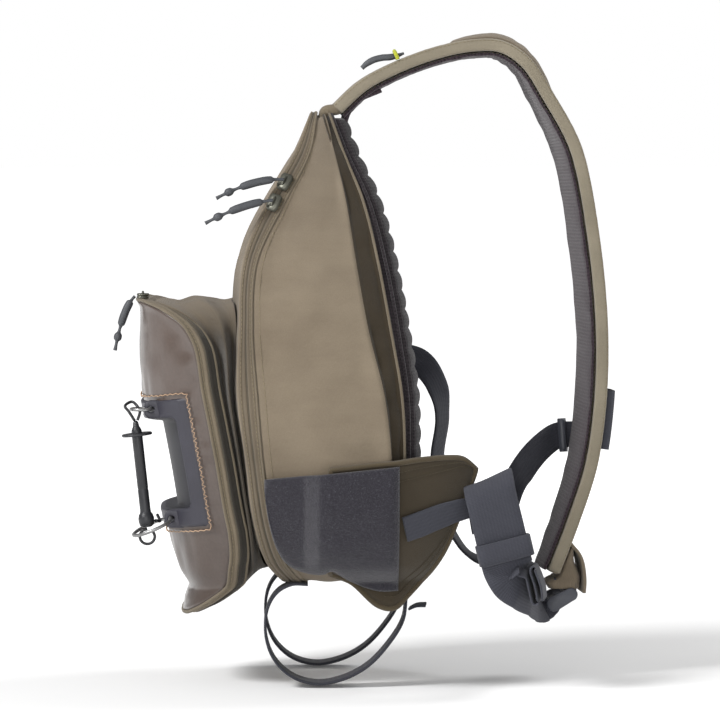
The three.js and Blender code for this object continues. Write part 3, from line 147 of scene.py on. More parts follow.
def neighbours(path, i, closed):
    """The points after and before place i of a path."""
    last = len(path) - 1
    if closed:
        return path[(i + 1) % len(path)], path[i - 1]
    return path[min(i + 1, last)], path[max(i - 1, 0)]


def square_to(side, run):
    return (side - run * side.dot(run)).normalized()


# Meshes

def hand_over(obj, look, nodes=()):
    obj.data.materials.clear()
    obj.data.materials.append(look)
    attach(obj, "root")
    if nodes:
        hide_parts(*nodes)
    return obj


def mesh_object(name, points, faces, loops_uv=None):
    mesh = bpy.data.meshes.new(name)
    mesh.from_pydata([metres(p) for p in points], [], faces)
    if loops_uv:
        layer = mesh.uv_layers.new(name="UVMap")
        flat = [value for face in loops_uv for pair in face for value in pair]
        layer.data.foreach_set("uv", flat)
    mesh.shade_smooth()
    obj = bpy.data.objects.new(name, mesh)
    bpy.context.scene.collection.objects.link(obj)
    return obj


def measured(points):
    """Running lengths in metres along a line of points."""
    reach = [0.0]
    for a, b in zip(points, points[1:]):
        reach.append(reach[-1] + (Vector(b) - Vector(a)).length / 1000)
    return reach


def skin(name, rows, ring=False, joined=False, capped=False):
    """A mesh through rows of points, with a UV map in metres. ring closes each row."""
    count = len(rows[0])
    middle = rows[len(rows) // 2]
    column = count // 4 if ring else count // 2
    along = measured([*middle, middle[0]])
    across = measured([row[column] for row in [*rows, rows[0]]])
    faces, uvs = [], []
    for i in range(len(rows) if joined else len(rows) - 1):
        for j in range(count if ring else count - 1):
            a, b = i * count + j, i * count + (j + 1) % count
            below = ((i + 1) % len(rows)) * count
            faces.append((a, b, below + (j + 1) % count, below + j))
            corners = ((i, j), (i, j + 1), (i + 1, j + 1), (i + 1, j))
            uvs.append([(across[row], along[place]) for row, place in corners])
    if capped:
        start = (len(rows) - 1) * count
        faces += [tuple(reversed(range(count))), tuple(range(start, start + count))]
        uvs += [[(0.0, 0.0)] * count] * 2
    return mesh_object(name, [p for row in rows for p in row], faces, uvs)


def outward(obj, centre=None):
    """Turns faces away from a centre, or outwards if the mesh is closed."""
    mesh = bmesh.new()
    mesh.from_mesh(obj.data)
    bmesh.ops.recalc_face_normals(mesh, faces=mesh.faces)
    if centre is not None:
        heart = metres(centre)
        total = sum((f.calc_center_median() - heart).dot(f.normal) * f.calc_area() for f in mesh.faces)
        if total < 0:
            bmesh.ops.reverse_faces(mesh, faces=mesh.faces)
    mesh.to_mesh(obj.data)
    mesh.free()
    return obj


def closed_piece(name, rows, look, nodes=(), joined=False):
    """A closed solid through rings of points, with its ends capped or joined."""
    obj = outward(skin(name, rows, ring=True, joined=joined, capped=not joined))
    return hand_over(obj, look, nodes)


def cloth_piece(name, rows, centre, wall, look, nodes=(), ring=True):
    """Open cloth with a wall in mm on its inner side."""
    obj = outward(skin(name, rows, ring=ring), centre)
    solid = obj.modifiers.new("wall", "SOLIDIFY")
    solid.thickness = wall / 1000
    solid.offset = -1.0
    return hand_over(obj, look, nodes)


def puff(rows, height, centre):
    """Moves each point of rings along its normal, away from centre, by height(p, i, j) mm."""
    count = len(rows[0])
    heart = Vector(centre)
    moved = []
    for i, row in enumerate(rows):
        line = []
        for j, point in enumerate(row):
            p = Vector(point)
            up = Vector(rows[max(i - 1, 0)][j])
            down = Vector(rows[min(i + 1, len(rows) - 1)][j])
            normal = (down - up).cross(Vector(row[(j + 1) % count]) - Vector(row[j - 1]))
            if normal.length < 1e-9:
                normal = p - heart
            normal.normalize()
            if normal.dot(p - heart) < 0:
                normal.negate()
            line.append(p + normal * height(p, i, j))
        moved.append(line)
    return moved


def tube(name, points, radius, look, nodes=(), sides=10, closed=False, steps=None):
    """A round cord through points; radius is a number or a function of t."""
    line = [Vector(p) for p in points]
    count = steps or max(len(line) * 4, 12)
    if closed:
        path = spaced(line, count, closed=True)
    else:
        path = [curve_point(line, t) for t in even(0, 1, count - 1)]
    rows = []
    side = None
    for i, p in enumerate(path):
        ahead, behind = neighbours(path, i, closed)
        run = (ahead - behind).normalized()
        if side is None:
            side = run.orthogonal().normalized()
        side = square_to(side, run)
        lift = run.cross(side)
        r = radius(i / (count - 1)) if callable(radius) else radius
        rows.append([p + side * (r * c) + lift * (r * s) for c, s in around(sides)])
    return closed_piece(name, rows, look, nodes, joined=closed)


TURNED_SIDES = 40


def turned(name, base, axis, profile, look, nodes=()):
    """A lathe body: profile pairs are radius and height along axis from base."""
    run = Vector(axis).normalized()
    side = run.orthogonal().normalized()
    lift = run.cross(side)
    rows = []
    for radius, height in profile:
        centre = Vector(base) + run * height
        rows.append([centre + (side * c + lift * s) * max(radius, 0.02) for c, s in around(TURNED_SIDES)])
    closed = profile[0] == profile[-1]
    if closed:
        rows.pop()
    return closed_piece(name, rows, look, nodes, joined=closed)


def piping(name, path, radius, look, steps=240):
    return tube(name, path, radius, look, closed=True, steps=steps, sides=8)


STITCH_SIDES = 5


def stitches(name, path, look, pitch=3.2, length=2.2, radius=0.35, closed=False):
    """A row of short thread stitches along a path of points."""
    total = sum((Vector(b) - Vector(a)).length for a, b in zip(path, path[1:]))
    line = spaced(path, max(int(total / pitch), 2), closed=closed)
    points, faces = [], []
    for i, p in enumerate(line):
        ahead, behind = neighbours(line, i, closed)
        run = (ahead - behind).normalized()
        side = run.orthogonal().normalized()
        lift = run.cross(side)
        start = len(points)
        for along, girth in ((-0.5, 0.35), (-0.25, 1.0), (0.25, 1.0), (0.5, 0.35)):
            centre = p + run * (along * length)
            points += [centre + (side * c + lift * s) * (radius * girth) for c, s in around(STITCH_SIDES)]
        for ring in range(3):
            for k in range(STITCH_SIDES):
                a = start + ring * STITCH_SIDES + k
                b = start + ring * STITCH_SIDES + (k + 1) % STITCH_SIDES
                faces.append((a, b, b + STITCH_SIDES, a + STITCH_SIDES))
    return hand_over(mesh_object(name, points, faces), look)


# Looks

def linear(rgb):
    made = []
    for c in rgb:
        c = c / 255
        made.append(((c + 0.055) / 1.055) ** 2.4 if c > 0.04045 else c / 12.92)
    return (*made, 1.0)


def fill_inputs(tree, node, inputs):
    """Sets a node's inputs by name; each is a value or another node's output."""
    for name, value in inputs.items():
        if isinstance(value, bpy.types.NodeSocket):
            tree.links.new(value, node.inputs[name])
        else:
            node.inputs[name].default_value = value


class Nodes:
    """A material's node tree, built a node at a time."""

    def __init__(self, name):
        self.material = bpy.data.materials.new(name)
        self.material.use_nodes = True
        self.tree = self.material.node_tree
        self.shader = self.tree.nodes["Principled BSDF"]
        self.coords = self.tree.nodes.new("ShaderNodeTexCoord").outputs

    def node(self, kind, inputs, **settings):
        made = self.tree.nodes.new(kind)
        for key, value in settings.items():
            setattr(made, key, value)
        fill_inputs(self.tree, made, inputs)
        return made.outputs

    def surface(self, colour, roughness, specular, **others):
        """Fills the shader and hands over the material; others are inputs by plain name."""
        named = {"Base Color": colour, "Roughness": roughness, "Specular IOR Level": specular}
        named.update((key.replace("_", " ").title(), value) for key, value in others.items())
        fill_inputs(self.tree, self.shader, named)
        return self.material

    def noise(self, scale, detail=3.0, stretch=(1, 1, 1), rough=0.5):
        mapping = self.node("ShaderNodeMapping", {"Scale": stretch, "Vector": self.coords["Object"]})
        inputs = {"Scale": scale, "Detail": detail, "Roughness": rough, "Vector": mapping["Vector"]}
        return self.node("ShaderNodeTexNoise", inputs)["Fac"]

    def wave(self, period, direction, distortion):
        """Bands across the UV map, period in mm."""
        inputs = {"Scale": 100 * math.pi / period, "Distortion": distortion, "Vector": self.coords["UV"]}
        return self.node("ShaderNodeTexWave", inputs, wave_type="BANDS", bands_direction=direction)["Fac"]

    def math(self, operation, a, b):
        return self.node("ShaderNodeMath", {0: a, 1: b}, operation=operation)["Value"]

    def total(self, *parts):
        """The sum of outputs, each times its weight."""
        terms = [part if weight == 1 else self.math("MULTIPLY", part, weight) for part, weight in parts]
        made = terms[0]
        for term in terms[1:]:
            made = self.math("ADD", made, term)
        return made

    def ramp(self, fac, *stops):
        made = self.tree.nodes.new("ShaderNodeValToRGB")
        elements = made.color_ramp.elements
        while len(elements) < len(stops):
            elements.new(0.5)
        for element, (place, rgb) in zip(elements, stops):
            element.position = place
            element.color = linear(rgb)
        self.tree.links.new(fac, made.inputs["Fac"])
        return made.outputs["Color"]

    def fade(self, value, low, high, first, last):
        """A value read from low to high and given back from first to last."""
        inputs = {"Value": value, "From Min": low, "From Max": high, "To Min": first, "To Max": last}
        return self.node("ShaderNodeMapRange", inputs)["Result"]

    def painted_shade_below(self, colour, low, high, share):
        """Painted shade: fades a colour to a share of itself from the height high down to low."""
        height = self.node("ShaderNodeSeparateXYZ", {"Vector": self.coords["Object"]})["Z"]
        inputs = {0: colour, "Scale": self.fade(height, low, high, share, 1.0)}
        return self.node("ShaderNodeVectorMath", inputs, operation="SCALE")["Vector"]

    def bump(self, height, millimetres, strength=1.0):
        inputs = {"Distance": millimetres / 1000, "Strength": strength, "Height": height}
        return self.node("ShaderNodeBump", inputs)["Normal"]


def woven(name, light, dark, thread=0.9, sheen=0.15, shade=None):
    """Plain woven nylon: crossed threads, mottled dye and fine fibre; shade, if given, darkens the colour
    below a height as painted shade.
    """
    look = Nodes(name)
    weave = look.math("MULTIPLY", look.wave(thread, "X", 0.4), look.wave(thread, "Y", 0.4))
    fibre, mottle = look.noise(1400, 2.0), look.noise(16, 4.0, (1, 1, 2.2))
    raised = look.math("SUBTRACT", weave, 0.25)
    tone = look.total((mottle, 0.65), (fibre, 0.35), (raised, 0.14))
    dyed = look.ramp(tone, (0.28, dark), (0.72, light))
    # Painted shade: the dye is darkened below a height where the surface turns away from the light
    if shade:
        dyed = look.painted_shade_below(dyed, *shade)
    normal = look.bump(look.total((weave, 1), (fibre, 0.6)), 0.2)
    return look.surface(dyed, 0.85, 0.25, normal=normal, sheen_weight=sheen, sheen_roughness=0.6)


def webbing(name, light, dark):
    """Ribbed webbing: fine cross ribs with two lines of warp down its middle."""
    look = Nodes(name)
    rib, warp, fibre = look.wave(1.0, "X", 0.2), look.wave(2.4, "Y", 0.15), look.noise(1500, 2.0)
    tone = look.total((rib, 0.4), (fibre, 0.45), (warp, 0.12))
    normal = look.bump(look.total((rib, 1), (warp, 0.4)), 0.2)
    dyed = look.ramp(tone, (0.2, dark), (0.85, light))
    return look.surface(dyed, 0.7, 0.3, normal=normal, sheen_weight=0.1)


def coated(name, light, dark):
    """Smooth coated cloth: a satin film with faint creases and scuffs."""
    look = Nodes(name)
    cloud, fine = look.noise(9, 3.0, (1, 1, 0.5)), look.noise(420, 3.0)
    crease = look.noise(38, 4.0, (1, 1, 0.35), rough=0.6)
    tone = look.total((cloud, 0.75), (fine, 0.25))
    normal = look.bump(look.total((crease, 1), (fine, 0.12)), 0.9, 0.6)
    dyed = look.ramp(tone, (0.3, dark), (0.7, light))
    return look.surface(dyed, 0.3, 0.5, normal=normal, coat_weight=0.3, coat_roughness=0.32)


def spacer_mesh(name, light, dark, hole):
    """Open spacer mesh: rows of small holes in a knitted face."""
    look = Nodes(name)
    inputs = {"Scale": 380, "Randomness": 0.25, "Vector": look.coords["UV"]}
    cells = look.node("ShaderNodeTexVoronoi", inputs, feature="F1")["Distance"]
    edge = look.total((cells, 1), (look.noise(1500, 2.0), 0.15))
    dyed = look.ramp(edge, (0.22, hole), (0.42, dark), (0.8, light))
    return look.surface(dyed, 0.9, 0.2, normal=look.bump(edge, 0.6), sheen_weight=0.2)


def felted(name, light, dark, speck):
    look = Nodes(name)
    fibre, nap = look.noise(1500, 4.0, rough=0.8), look.noise(600, 4.0, rough=0.75)
    tone = look.total((fibre, 0.6), (nap, 0.4))
    dyed = look.ramp(tone, (0.38, dark), (0.55, light), (0.68, speck))
    return look.surface(dyed, 1.0, 0.1, normal=look.bump(tone, 1.1), sheen_weight=0.35)


def moulding(name, light, dark, roughness, grain=0.08, metallic=0.0):
    look = Nodes(name)
    cloud, fine = look.noise(45, 3.0), look.noise(1300, 2.0)
    dyed = look.ramp(look.total((cloud, 0.6), (fine, 0.4)), (0.3, dark), (0.7, light))
    return look.surface(dyed, roughness, 0.5, normal=look.bump(fine, grain), metallic=metallic)


POCKET_SHADE = (-0.208, -0.178)  # heights in the frame between which painted shade darkens the pocket's sides
TAUPE = woven("taupe cloth", (128, 116, 98), (107, 95, 79))
# Painted shade: the pocket's gusset and rear tape are dyed darker low down, where their sides turn away from
# the light
GUSSET_CLOTH_PAINTED_SHADE = woven("gusset cloth painted shade", (128, 116, 98), (107, 95, 79), shade=(*POCKET_SHADE, 0.3))
# Painted shade: the side wall behind the ridge turns away from the light, so its cloth is dyed darker
SIDE_BACK_PAINTED_SHADE = woven("back side cloth painted shade", (50, 40, 22), (39, 30, 15))
# Painted shade: the wing's cloth is dyed darker because its face turns away from the light
WING_PAINTED_SHADE = woven("wing cloth painted shade", (64, 54, 38), (50, 42, 28))
PALE = woven("tape cloth", (106, 95, 79), (89, 79, 65), thread=0.8)
BAND = woven("pocket tape", (122, 111, 93), (102, 91, 75), thread=0.8)
BAND_REAR_PAINTED_SHADE = woven("pocket rear tape painted shade", (122, 111, 93), (102, 91, 75), thread=0.8, shade=(*POCKET_SHADE, 0.14))
BINDING = woven("binding", (140, 131, 113), (117, 109, 92), thread=0.7, sheen=0.25)
PIPING = woven("piping", (116, 105, 87), (95, 85, 69), thread=0.7)
WELT = woven("wing welt", (84, 73, 53), (68, 58, 41), thread=0.7)
LID = coated("coated cloth", (84, 71, 64), (60, 50, 44))
SLATE = webbing("slate webbing", (67, 68, 77), (52, 53, 61))
DARK_WEB = webbing("dark webbing", (58, 59, 68), (42, 43, 50))
MESH = spacer_mesh("strap mesh", (64, 52, 58), (50, 40, 46), (26, 20, 24))
PAD = spacer_mesh("pad mesh", (52, 46, 49), (39, 34, 37), (22, 19, 21))
FELT = felted("patch felt", (49, 47, 54), (32, 31, 37), (90, 87, 95))
DOCK = moulding("dock plastic", (56, 55, 64), (46, 45, 53), 0.5)
# Painted shade: the dock's sunk tray is coloured darker than the frame to stand for the shade in the recess
TRAY_PAINTED_SHADE = moulding("dock tray painted shade", (38, 38, 46), (28, 28, 34), 0.55)
LOCK = moulding("buckle plastic", (74, 76, 84), (58, 60, 67), 0.42)
BLACK = moulding("black plastic", (40, 41, 45), (24, 25, 28), 0.4)
RUBBER = moulding("pull rubber", (72, 74, 78), (54, 56, 60), 0.55, 0.15)
GUNMETAL = moulding("slider metal", (112, 112, 102), (84, 84, 76), 0.38, 0.05, 0.8)
WIRE = moulding("ring wire", (168, 168, 168), (134, 134, 134), 0.35, 0.05, 0.85)
LIME = woven("lime cord", (196, 200, 52), (150, 156, 30))
COIL = moulding("zip coil", (92, 84, 68), (64, 58, 46), 0.55, 0.1)
THREAD = moulding("thread", (134, 122, 97), (108, 97, 75), 0.8, 0.2)
DARK_THREAD = moulding("dark thread", (74, 65, 48), (56, 49, 36), 0.85, 0.2)
TAN_THREAD = moulding("tan thread", (190, 160, 132), (160, 132, 106), 0.8, 0.2)

# The pack's lines: z share, half width, front, rear, ridge and back in front of the back plane
BODY_HEIGHT, BODY_HALF, BODY_DEPTH = 350.0, 118.0, 136.0
BODY = (
    (0, 0.66, 0.757, 0.662, 0.169, 0.074),
    (0.043, 0.83, 0.846, 0.743, 0.169, 0.074),
    (0.129, 0.95, 0.912, 0.816, 0.169, 0.074),
    (0.257, 1, 0.956, 0.868, 0.169, 0.074),
    (0.4, 0.99, 1, 0.9, 0.206, 0.081),
    (0.543, 0.915, 0.993, 0.925, 0.294, 0.132),
    (0.686, 0.79, 0.97, 0.9, 0.36, 0.199),
    (0.814, 0.62, 0.838, 0.743, 0.412, 0.287),
    (0.914, 0.46, 0.69, 0.61, 0.471, 0.404),
    (1, 0.34, 0.6, 0.57, 0.53, 0.49),
)
HALF, FRONT, REAR, RIDGE, BACK = 1, 2, 3, 4, 5
PANEL_SHARE, ZIP_SHARE, SEAM_SHARE = 0.84, 0.88, 0.9
PANEL_BULGE = 6.0
BODY_MIDDLE = BODY_HEIGHT * 0.42
BODY_WALL, POCKET_WALL, TAPE_WALL, PAD_WALL = 1.6, 1.4, 1.2, 1.5
ACROSS = (0, 1, 0)
HEART, GUSSET_HEART, LID_HEART = (-70, 0, 150), (-160, 0, 100), (-150, 0, 98)


def body_x(line, z):
    return -BODY_DEPTH * lookup(BODY, line, clamp(z / BODY_HEIGHT))


def body_half(z):
    return BODY_HALF * lookup(BODY, HALF, clamp(z / BODY_HEIGHT))


def mirrored_line(half, count):
    """A closed line at even steps, from the points of its far half."""
    points = [Vector((y, z, 0)) for y, z in half]
    far = spaced([curve_point(points, t) for t in even(0, 1, 400)], count // 2 + 1)
    near = [Vector((-p.x, p.y, 0)) for p in reversed(far[1:-1])]
    return [(p.x, p.y) for p in far + near]


# Sideways place and height round the pack, on its widest line
OUTLINE = mirrored_line([
    (0, 0), (30, 0), (60, 0),
    *((body_half(z), z) for z in (1, 6, 15, 28, 45, 70, 100, 140, 180, 220, 255, 285, 310, 332, 345)),
    (28, 349.6), (14, 350), (0, 350),
], 180)


def body_row(x_at, width, inset=0.0, shrink=1.0):
    """A ring round the pack: width is a share of the outline's, and x comes from a height."""
    row = []
    for y, z in OUTLINE:
        across, up = y / BODY_HALF, (z - BODY_MIDDLE) / BODY_HEIGHT * 1.6
        reach = math.hypot(across, up) or 1.0
        y_in = (y * width - inset * across / reach) * shrink
        z_in = BODY_MIDDLE + (z - inset * up / reach - BODY_MIDDLE) * shrink
        row.append((x_at(z_in), y_in, z_in))
    return row


RIDGE_AT, PAD_AT = 0.45, 0.86


def side_line(u):
    """Width share and x of the side wall at u, from the zip (0) over the ridge back (1)."""
    if u < RIDGE_AT:
        s = u / RIDGE_AT
        width = lookup(((0, ZIP_SHARE), (0.5, 0.962), (1, 1.0)), 1, s)
        return width, lambda z: mix(body_x(REAR, z), body_x(RIDGE, z), s)
    s = (u - RIDGE_AT) / (1 - RIDGE_AT)
    width = lookup(((0, 1.0), (0.5, 0.968), (1, SEAM_SHARE)), 1, s)
    return width, lambda z: mix(body_x(RIDGE, z), body_x(BACK, z), s)


def side_half(x, z):
    """Half width of the side wall at x, z."""
    lines = (
        (body_x(REAR, z), ZIP_SHARE),
        ((body_x(REAR, z) + body_x(RIDGE, z)) / 2, 0.965),
        (body_x(RIDGE, z), 1.0),
        ((body_x(RIDGE, z) + body_x(BACK, z)) / 2, 0.975),
        (body_x(BACK, z), SEAM_SHARE),
    )
    x = clamp(x, lines[0][0], lines[-1][0])
    k = min(next((i for i in range(4) if x <= lines[i + 1][0]), 3), 3)
    (xa, wa), (xb, wb) = lines[k], lines[k + 1]
    return body_half(z) * mix(wa, wb, (x - xa) / (xb - xa))


def side_wrinkle(p):
    """Level creases, a slack hollow low down and a soft wave along the seams, in mm."""
    level = noise_at(p.x * 0.02 + p.z * 0.012, p.y * 0.01, p.z * 0.075)
    slanted = noise_at(p.x * 0.05 - p.z * 0.02, 7, p.z * 0.045)
    large = noise_at(p.x * 0.018 + 5, p.y * 0.02, p.z * 0.017)
    fine = noise_at(p.x * 0.06, p.y * 0.05 + 9, p.z * 0.2)
    sharp = 1 - abs(level) * 2
    return level * 1.5 + slanted * 1.5 + large * 2.8 + fine * 0.35 + 0.5 * sharp - 1.5


def make_side(name, first, last, look, nodes=(), closed=False):
    places = even(first, last, 26)
    rows = [body_row(x_at, width) for width, x_at in map(side_line, places)]

    def height(p, i, j):
        return side_wrinkle(p) * ease(min(places[i] - first, last - places[i]) / 0.07)

    rows = puff(rows, height, HEART)
    if closed:
        rows += [
            body_row(lambda z: body_x(BACK, z), SEAM_SHARE, shrink=s) for s in (0.97, 0.9, 0.7, 0.4, 0.05)
        ]
    return cloth_piece(name, rows, HEART, BODY_WALL, look, nodes)


def ring_path(u, lift=0.0):
    width, x_at = side_line(u)
    return [Vector(p) for p in body_row(x_at, width, inset=-lift)]


def make_front():
    shares = [i / 22 for i in range(1, 23)]
    rows = [
        body_row(lambda z, s=s: body_x(FRONT, z) - PANEL_BULGE * (1 - s * s) - 0.3, PANEL_SHARE, shrink=s)
        for s in shares
    ]

    def height(p, i, j):
        return noise_at(p.x * 0.02, p.y * 0.016, p.z * 0.035) * 1.8 * ease((1 - shares[i]) / 0.12)

    rows = puff(rows, height, HEART)
    return cloth_piece("front_cloth", rows, HEART, BODY_WALL, TAUPE, ("front_panel",))


COIL_RADIUS, COIL_PITCH, GROOVE = 0.75, 0.95, 1.0
TAPE_PROFILE = (
    (0.0, -0.6), (0.03, 0.3), (0.08, 0.6), (0.2, 0.5), (0.24, 0.15), (0.28, 0.5), (0.42, 0.6),
    (0.46, 0.1), (0.475, -GROOVE), (0.5, -GROOVE), (0.525, -GROOVE), (0.54, 0.1), (0.58, 0.6),
    (0.72, 0.5), (0.76, 0.15), (0.8, 0.5), (0.92, 0.6), (0.97, 0.3), (1.0, -0.6),
)
REAR_TAPE = 9  # rows of the profile that belong to the tape behind the coil


def zip_band(name, row_at, nodes, coil_name, look=PALE, rear=None, fall=0.0):
    """Two tapes with a sunk coil between them; the rear one may fall away and have its own look, which can
    carry painted shade.
    """
    rows = [row_at(across, lift - fall * max(1 - across / 0.45, 0) ** 1.4) for across, lift in TAPE_PROFILE]
    obj = cloth_piece(name, rows, HEART, TAPE_WALL, look, nodes)
    # The rear tape's own look darkens it below a height as painted shade
    if rear:
        obj.data.materials.append(rear)
        for face in obj.data.polygons:
            face.material_index = int(min(face.vertices) // len(rows[0]) < REAR_TAPE)
    middle = [Vector(p) for p in row_at(0.5, 0.35 - GROOVE)]
    total = sum((b - a).length for a, b in zip(middle, middle[1:] + middle[:1]))
    count = int(total / COIL_PITCH)
    return tube(
        coil_name, middle, lambda t: COIL_RADIUS * (0.82 + 0.18 * math.cos(t * count * math.pi)),
        COIL, closed=True, steps=count, sides=8,
    )


def main_band(across, lift):
    width = mix(PANEL_SHARE, ZIP_SHARE, across)
    return body_row(lambda z: mix(body_x(FRONT, z), body_x(REAR, z), across), width, inset=-lift)


# The back pad

CHANNEL_PITCH, CHANNEL_STEPS = 14.0, 8
PAD_THICKNESS, PAD_MARGIN = 10.5, 4.0


def make_pad():
    """A padded back with level channels between its ribs."""
    channels = round((BODY_HEIGHT - 2 * PAD_MARGIN) / CHANNEL_PITCH)
    rows = []
    for place, z in enumerate(even(PAD_MARGIN, BODY_HEIGHT - PAD_MARGIN, channels * CHANNEL_STEPS)):
        swell = abs(math.sin(math.pi * (place % CHANNEL_STEPS) / CHANNEL_STEPS)) ** 0.7
        half = body_half(z) * SEAM_SHARE * 0.985
        base = body_x(BACK, z) + 0.8
        row = []
        for across in even(-1, 1, 60):
            edge = (1 - abs(across) ** 7) ** 0.5
            wobble = noise_at(across * 5, z * 0.06, 3)
            rise = mix(2.6, 1.1, abs(across) ** 3)
            depth = (PAD_THICKNESS - 3.2 + rise * swell + 0.5 * wobble) * edge
            row.append((base + max(depth, 0.1), half * across, z))
        rows.append(row)
    obj = cloth_piece("pad_cloth", rows, (-90, 0, 150), PAD_WALL, PAD, ("back_pad",), ring=False)


# The front pocket: z share, half width and stand-off of the band

POCKET_HEIGHT, POCKET_HALF, POCKET_DEPTH = 234.0, 91.0, 76.0
POCKET_DROP, POCKET_BOW, POCKET_SAG, POCKET_ZIP = 18.0, 46.0, 7.0, 13.0
POCKET_POWER = 3.5
POCKET = (
    (0, 0.5, 0.22), (0.03, 0.74, 0.2), (0.08, 0.88, 0.15), (0.15, 0.965, 0.1), (0.25, 1, 0.09),
    (0.48, 1, 0.12), (0.62, 1, 0.145), (0.76, 1, 0.2), (0.85, 0.975, 0.22), (0.92, 0.9, 0.225),
    (0.97, 0.76, 0.235), (1, 0.54, 0.25),
)
GUSSET = (  # share from the pack to the band, width share and fold depth
    (0, 0.93, 0.2), (0.15, 0.95, 1.8), (0.42, 0.98, -0.7), (0.74, 0.99, 2.2), (0.92, 1, 1.5), (1, 1, 1.05),
)
FOLD_DEPTH = 4.0


def pocket_z(share):
    return mix(-POCKET_DROP, POCKET_HEIGHT - POCKET_DROP, share)


def pocket_share(z):
    return (z + POCKET_DROP) / POCKET_HEIGHT


def bow(y):
    return POCKET_BOW * (1 - min(abs(y) / POCKET_HALF, 1) ** POCKET_POWER)


def band_x(z):
    return body_x(FRONT, clamp(z, 0, BODY_HEIGHT)) - POCKET_DEPTH * lookup(POCKET, 2, clamp(pocket_share(z)))


def lid_x(y, z):
    return band_x(z) - POCKET_ZIP - 0.3 - bow(y)


def sunk(y, z):
    return z - POCKET_SAG * bow(y) / POCKET_BOW


POCKET_LINE = mirrored_line([
    (0, -18), (16, -18), (34, -18),
    *((POCKET_HALF * lookup(POCKET, 1, s), pocket_z(s)) for s in (
        0.004, 0.03, 0.08, 0.15, 0.25, 0.36, 0.48, 0.62, 0.76, 0.85, 0.92, 0.97, 0.996)),
    (34, 216), (16, 216), (0, 216),
], 200)


def drawn_in(y, z, inset):
    across, up = y / POCKET_HALF, (pocket_share(z) - 0.5) * 2
    reach = math.hypot(across ** 3, up ** 3) or 1.0
    return y - inset * across ** 3 / reach, z - inset * up ** 3 / reach


def pocket_band(across, lift):
    row = []
    for y, z in POCKET_LINE:
        y_in, z_in = drawn_in(y, z, -lift - 0.2)
        row.append((band_x(z) - bow(y) - mix(0.6, POCKET_ZIP, across), y_in, sunk(y, z_in)))
    return row


def make_gusset():
    """The pocket's soft sides, folded between the pack and the zip band."""
    rows = []
    for at in even(0, 1, 36):
        width, fold = lookup(GUSSET, 1, at), lookup(GUSSET, 2, at)
        row = []
        for y, z in POCKET_LINE:
            top = ease((pocket_share(z) - 0.84) / 0.12)
            low = 1 - ease((pocket_share(z) - 0.02) / 0.16)
            rear_y, rear_z = y * width, mix(8, BODY_HEIGHT * 0.575, pocket_share(z)) + 8 * top
            reach = min(1, max(
                abs(rear_y) / (body_half(rear_z) * PANEL_SHARE),
                abs(rear_z - BODY_MIDDLE) / (BODY_HEIGHT * 0.58),
            ))
            rear_x = body_x(FRONT, rear_z) - PANEL_BULGE * (1 - reach * reach) - 0.9
            sag = noise_at(at * 3.5, y * 0.04, z * 0.03) * 3.4 * math.sin(math.pi * at)
            inset = fold * FOLD_DEPTH * (1.25 - top - 0.85 * low) + sag * (1 - 0.4 * top) + 0.3
            pulled_y, pulled_z = drawn_in(y, z, inset)
            row.append((
                mix(rear_x, band_x(z) - bow(y), at),
                mix(rear_y, y, at) + pulled_y - y,
                mix(rear_z, sunk(y, z), at) + pulled_z - z,
            ))
        rows.append(row)
    # The gusset's cloth darkens below a height as painted shade
    return cloth_piece(
        "gusset_cloth", rows, GUSSET_HEART, POCKET_WALL, GUSSET_CLOTH_PAINTED_SHADE, ("pocket_gusset",),
    )


DOCK_LOW, DOCK_HIGH, DOCK_HALF, RAIL = 45.5, 141.5, 81.9, 14.0
DOCK_PROUD, DOCK_RECESS, SPINE = 2.6, 11.0, 6.2
LUG_Y = -60.97


def in_dock(y, z, margin):
    return abs(y) < DOCK_HALF - margin and DOCK_LOW + margin < z < DOCK_HIGH - margin


def make_lid():
    """The lid, creased round the dock and cut out behind it."""
    rows, flat = [], []
    steps, middle = 44, pocket_z(0.5)
    for k in range(1, steps + 1):
        s = (k / steps) ** 0.8
        plan = [(y * s, middle + (z - middle) * s) for y, z in POCKET_LINE]
        row = []
        for y, z in plan:
            y_in, z_in = drawn_in(y, z, 1.2 * s ** 6)
            row.append((lid_x(y, z), y_in, sunk(y, z_in)))
        rows.append(row)
        flat.append(plan)

    def height(p, i, j):
        y, z = flat[i][j]
        upright = noise_at(p.x * 0.05, y * 0.035, z * 0.014)
        crease = noise_at(p.x * 0.09 + 4, y * 0.06, z * 0.045)
        buckled = noise_at(p.x * 0.07, 3, z * 0.075)
        dip = clamp((abs(y) - DOCK_HALF + 4) / 10)
        off = max(DOCK_LOW - z, z - DOCK_HIGH, 0)
        pucker = math.exp(-((off / 16) ** 2)) * math.exp(-((abs(y) / 82) ** 6))
        pucker *= noise_at(y * 0.13, 2, z * 0.01)
        edge = ease((1 - (i + 1) / steps) / 0.05)
        edge *= 0.25 + 0.75 * ease((pocket_share(z) - 0.04) / 0.14)
        beside = max(abs(y) - DOCK_HALF, DOCK_LOW - z, z - DOCK_HIGH)
        loose = upright * 2.4 * (0.5 + 0.5 * dip) + crease * 0.9 + buckled * 2.2 * dip
        return (loose + pucker * 1.8 - 0.7) * edge * ease((beside + 1) / 7)

    rows = puff(rows, height, LID_HEART)
    obj = cloth_piece("lid_cloth", rows, LID_HEART, POCKET_WALL, LID, ("pocket_lid",))
    places = [place for plan in flat for place in plan]
    mesh = bmesh.new()
    mesh.from_mesh(obj.data)
    gone = [f for f in mesh.faces if all(in_dock(*places[v.index], 3.0) for v in f.verts)]
    bmesh.ops.delete(mesh, geom=gone, context="FACES")
    mesh.to_mesh(obj.data)
    mesh.free()
    return obj


def rounded_box(y, z, half_y, low, high, radius):
    """Distance inside (positive) a rounded rectangle."""
    qy = abs(y) - half_y + radius
    qz = abs(z - (low + high) / 2) - (high - low) / 2 + radius
    outside = math.hypot(max(qy, 0), max(qz, 0)) + min(max(qy, qz), 0)
    return radius - outside


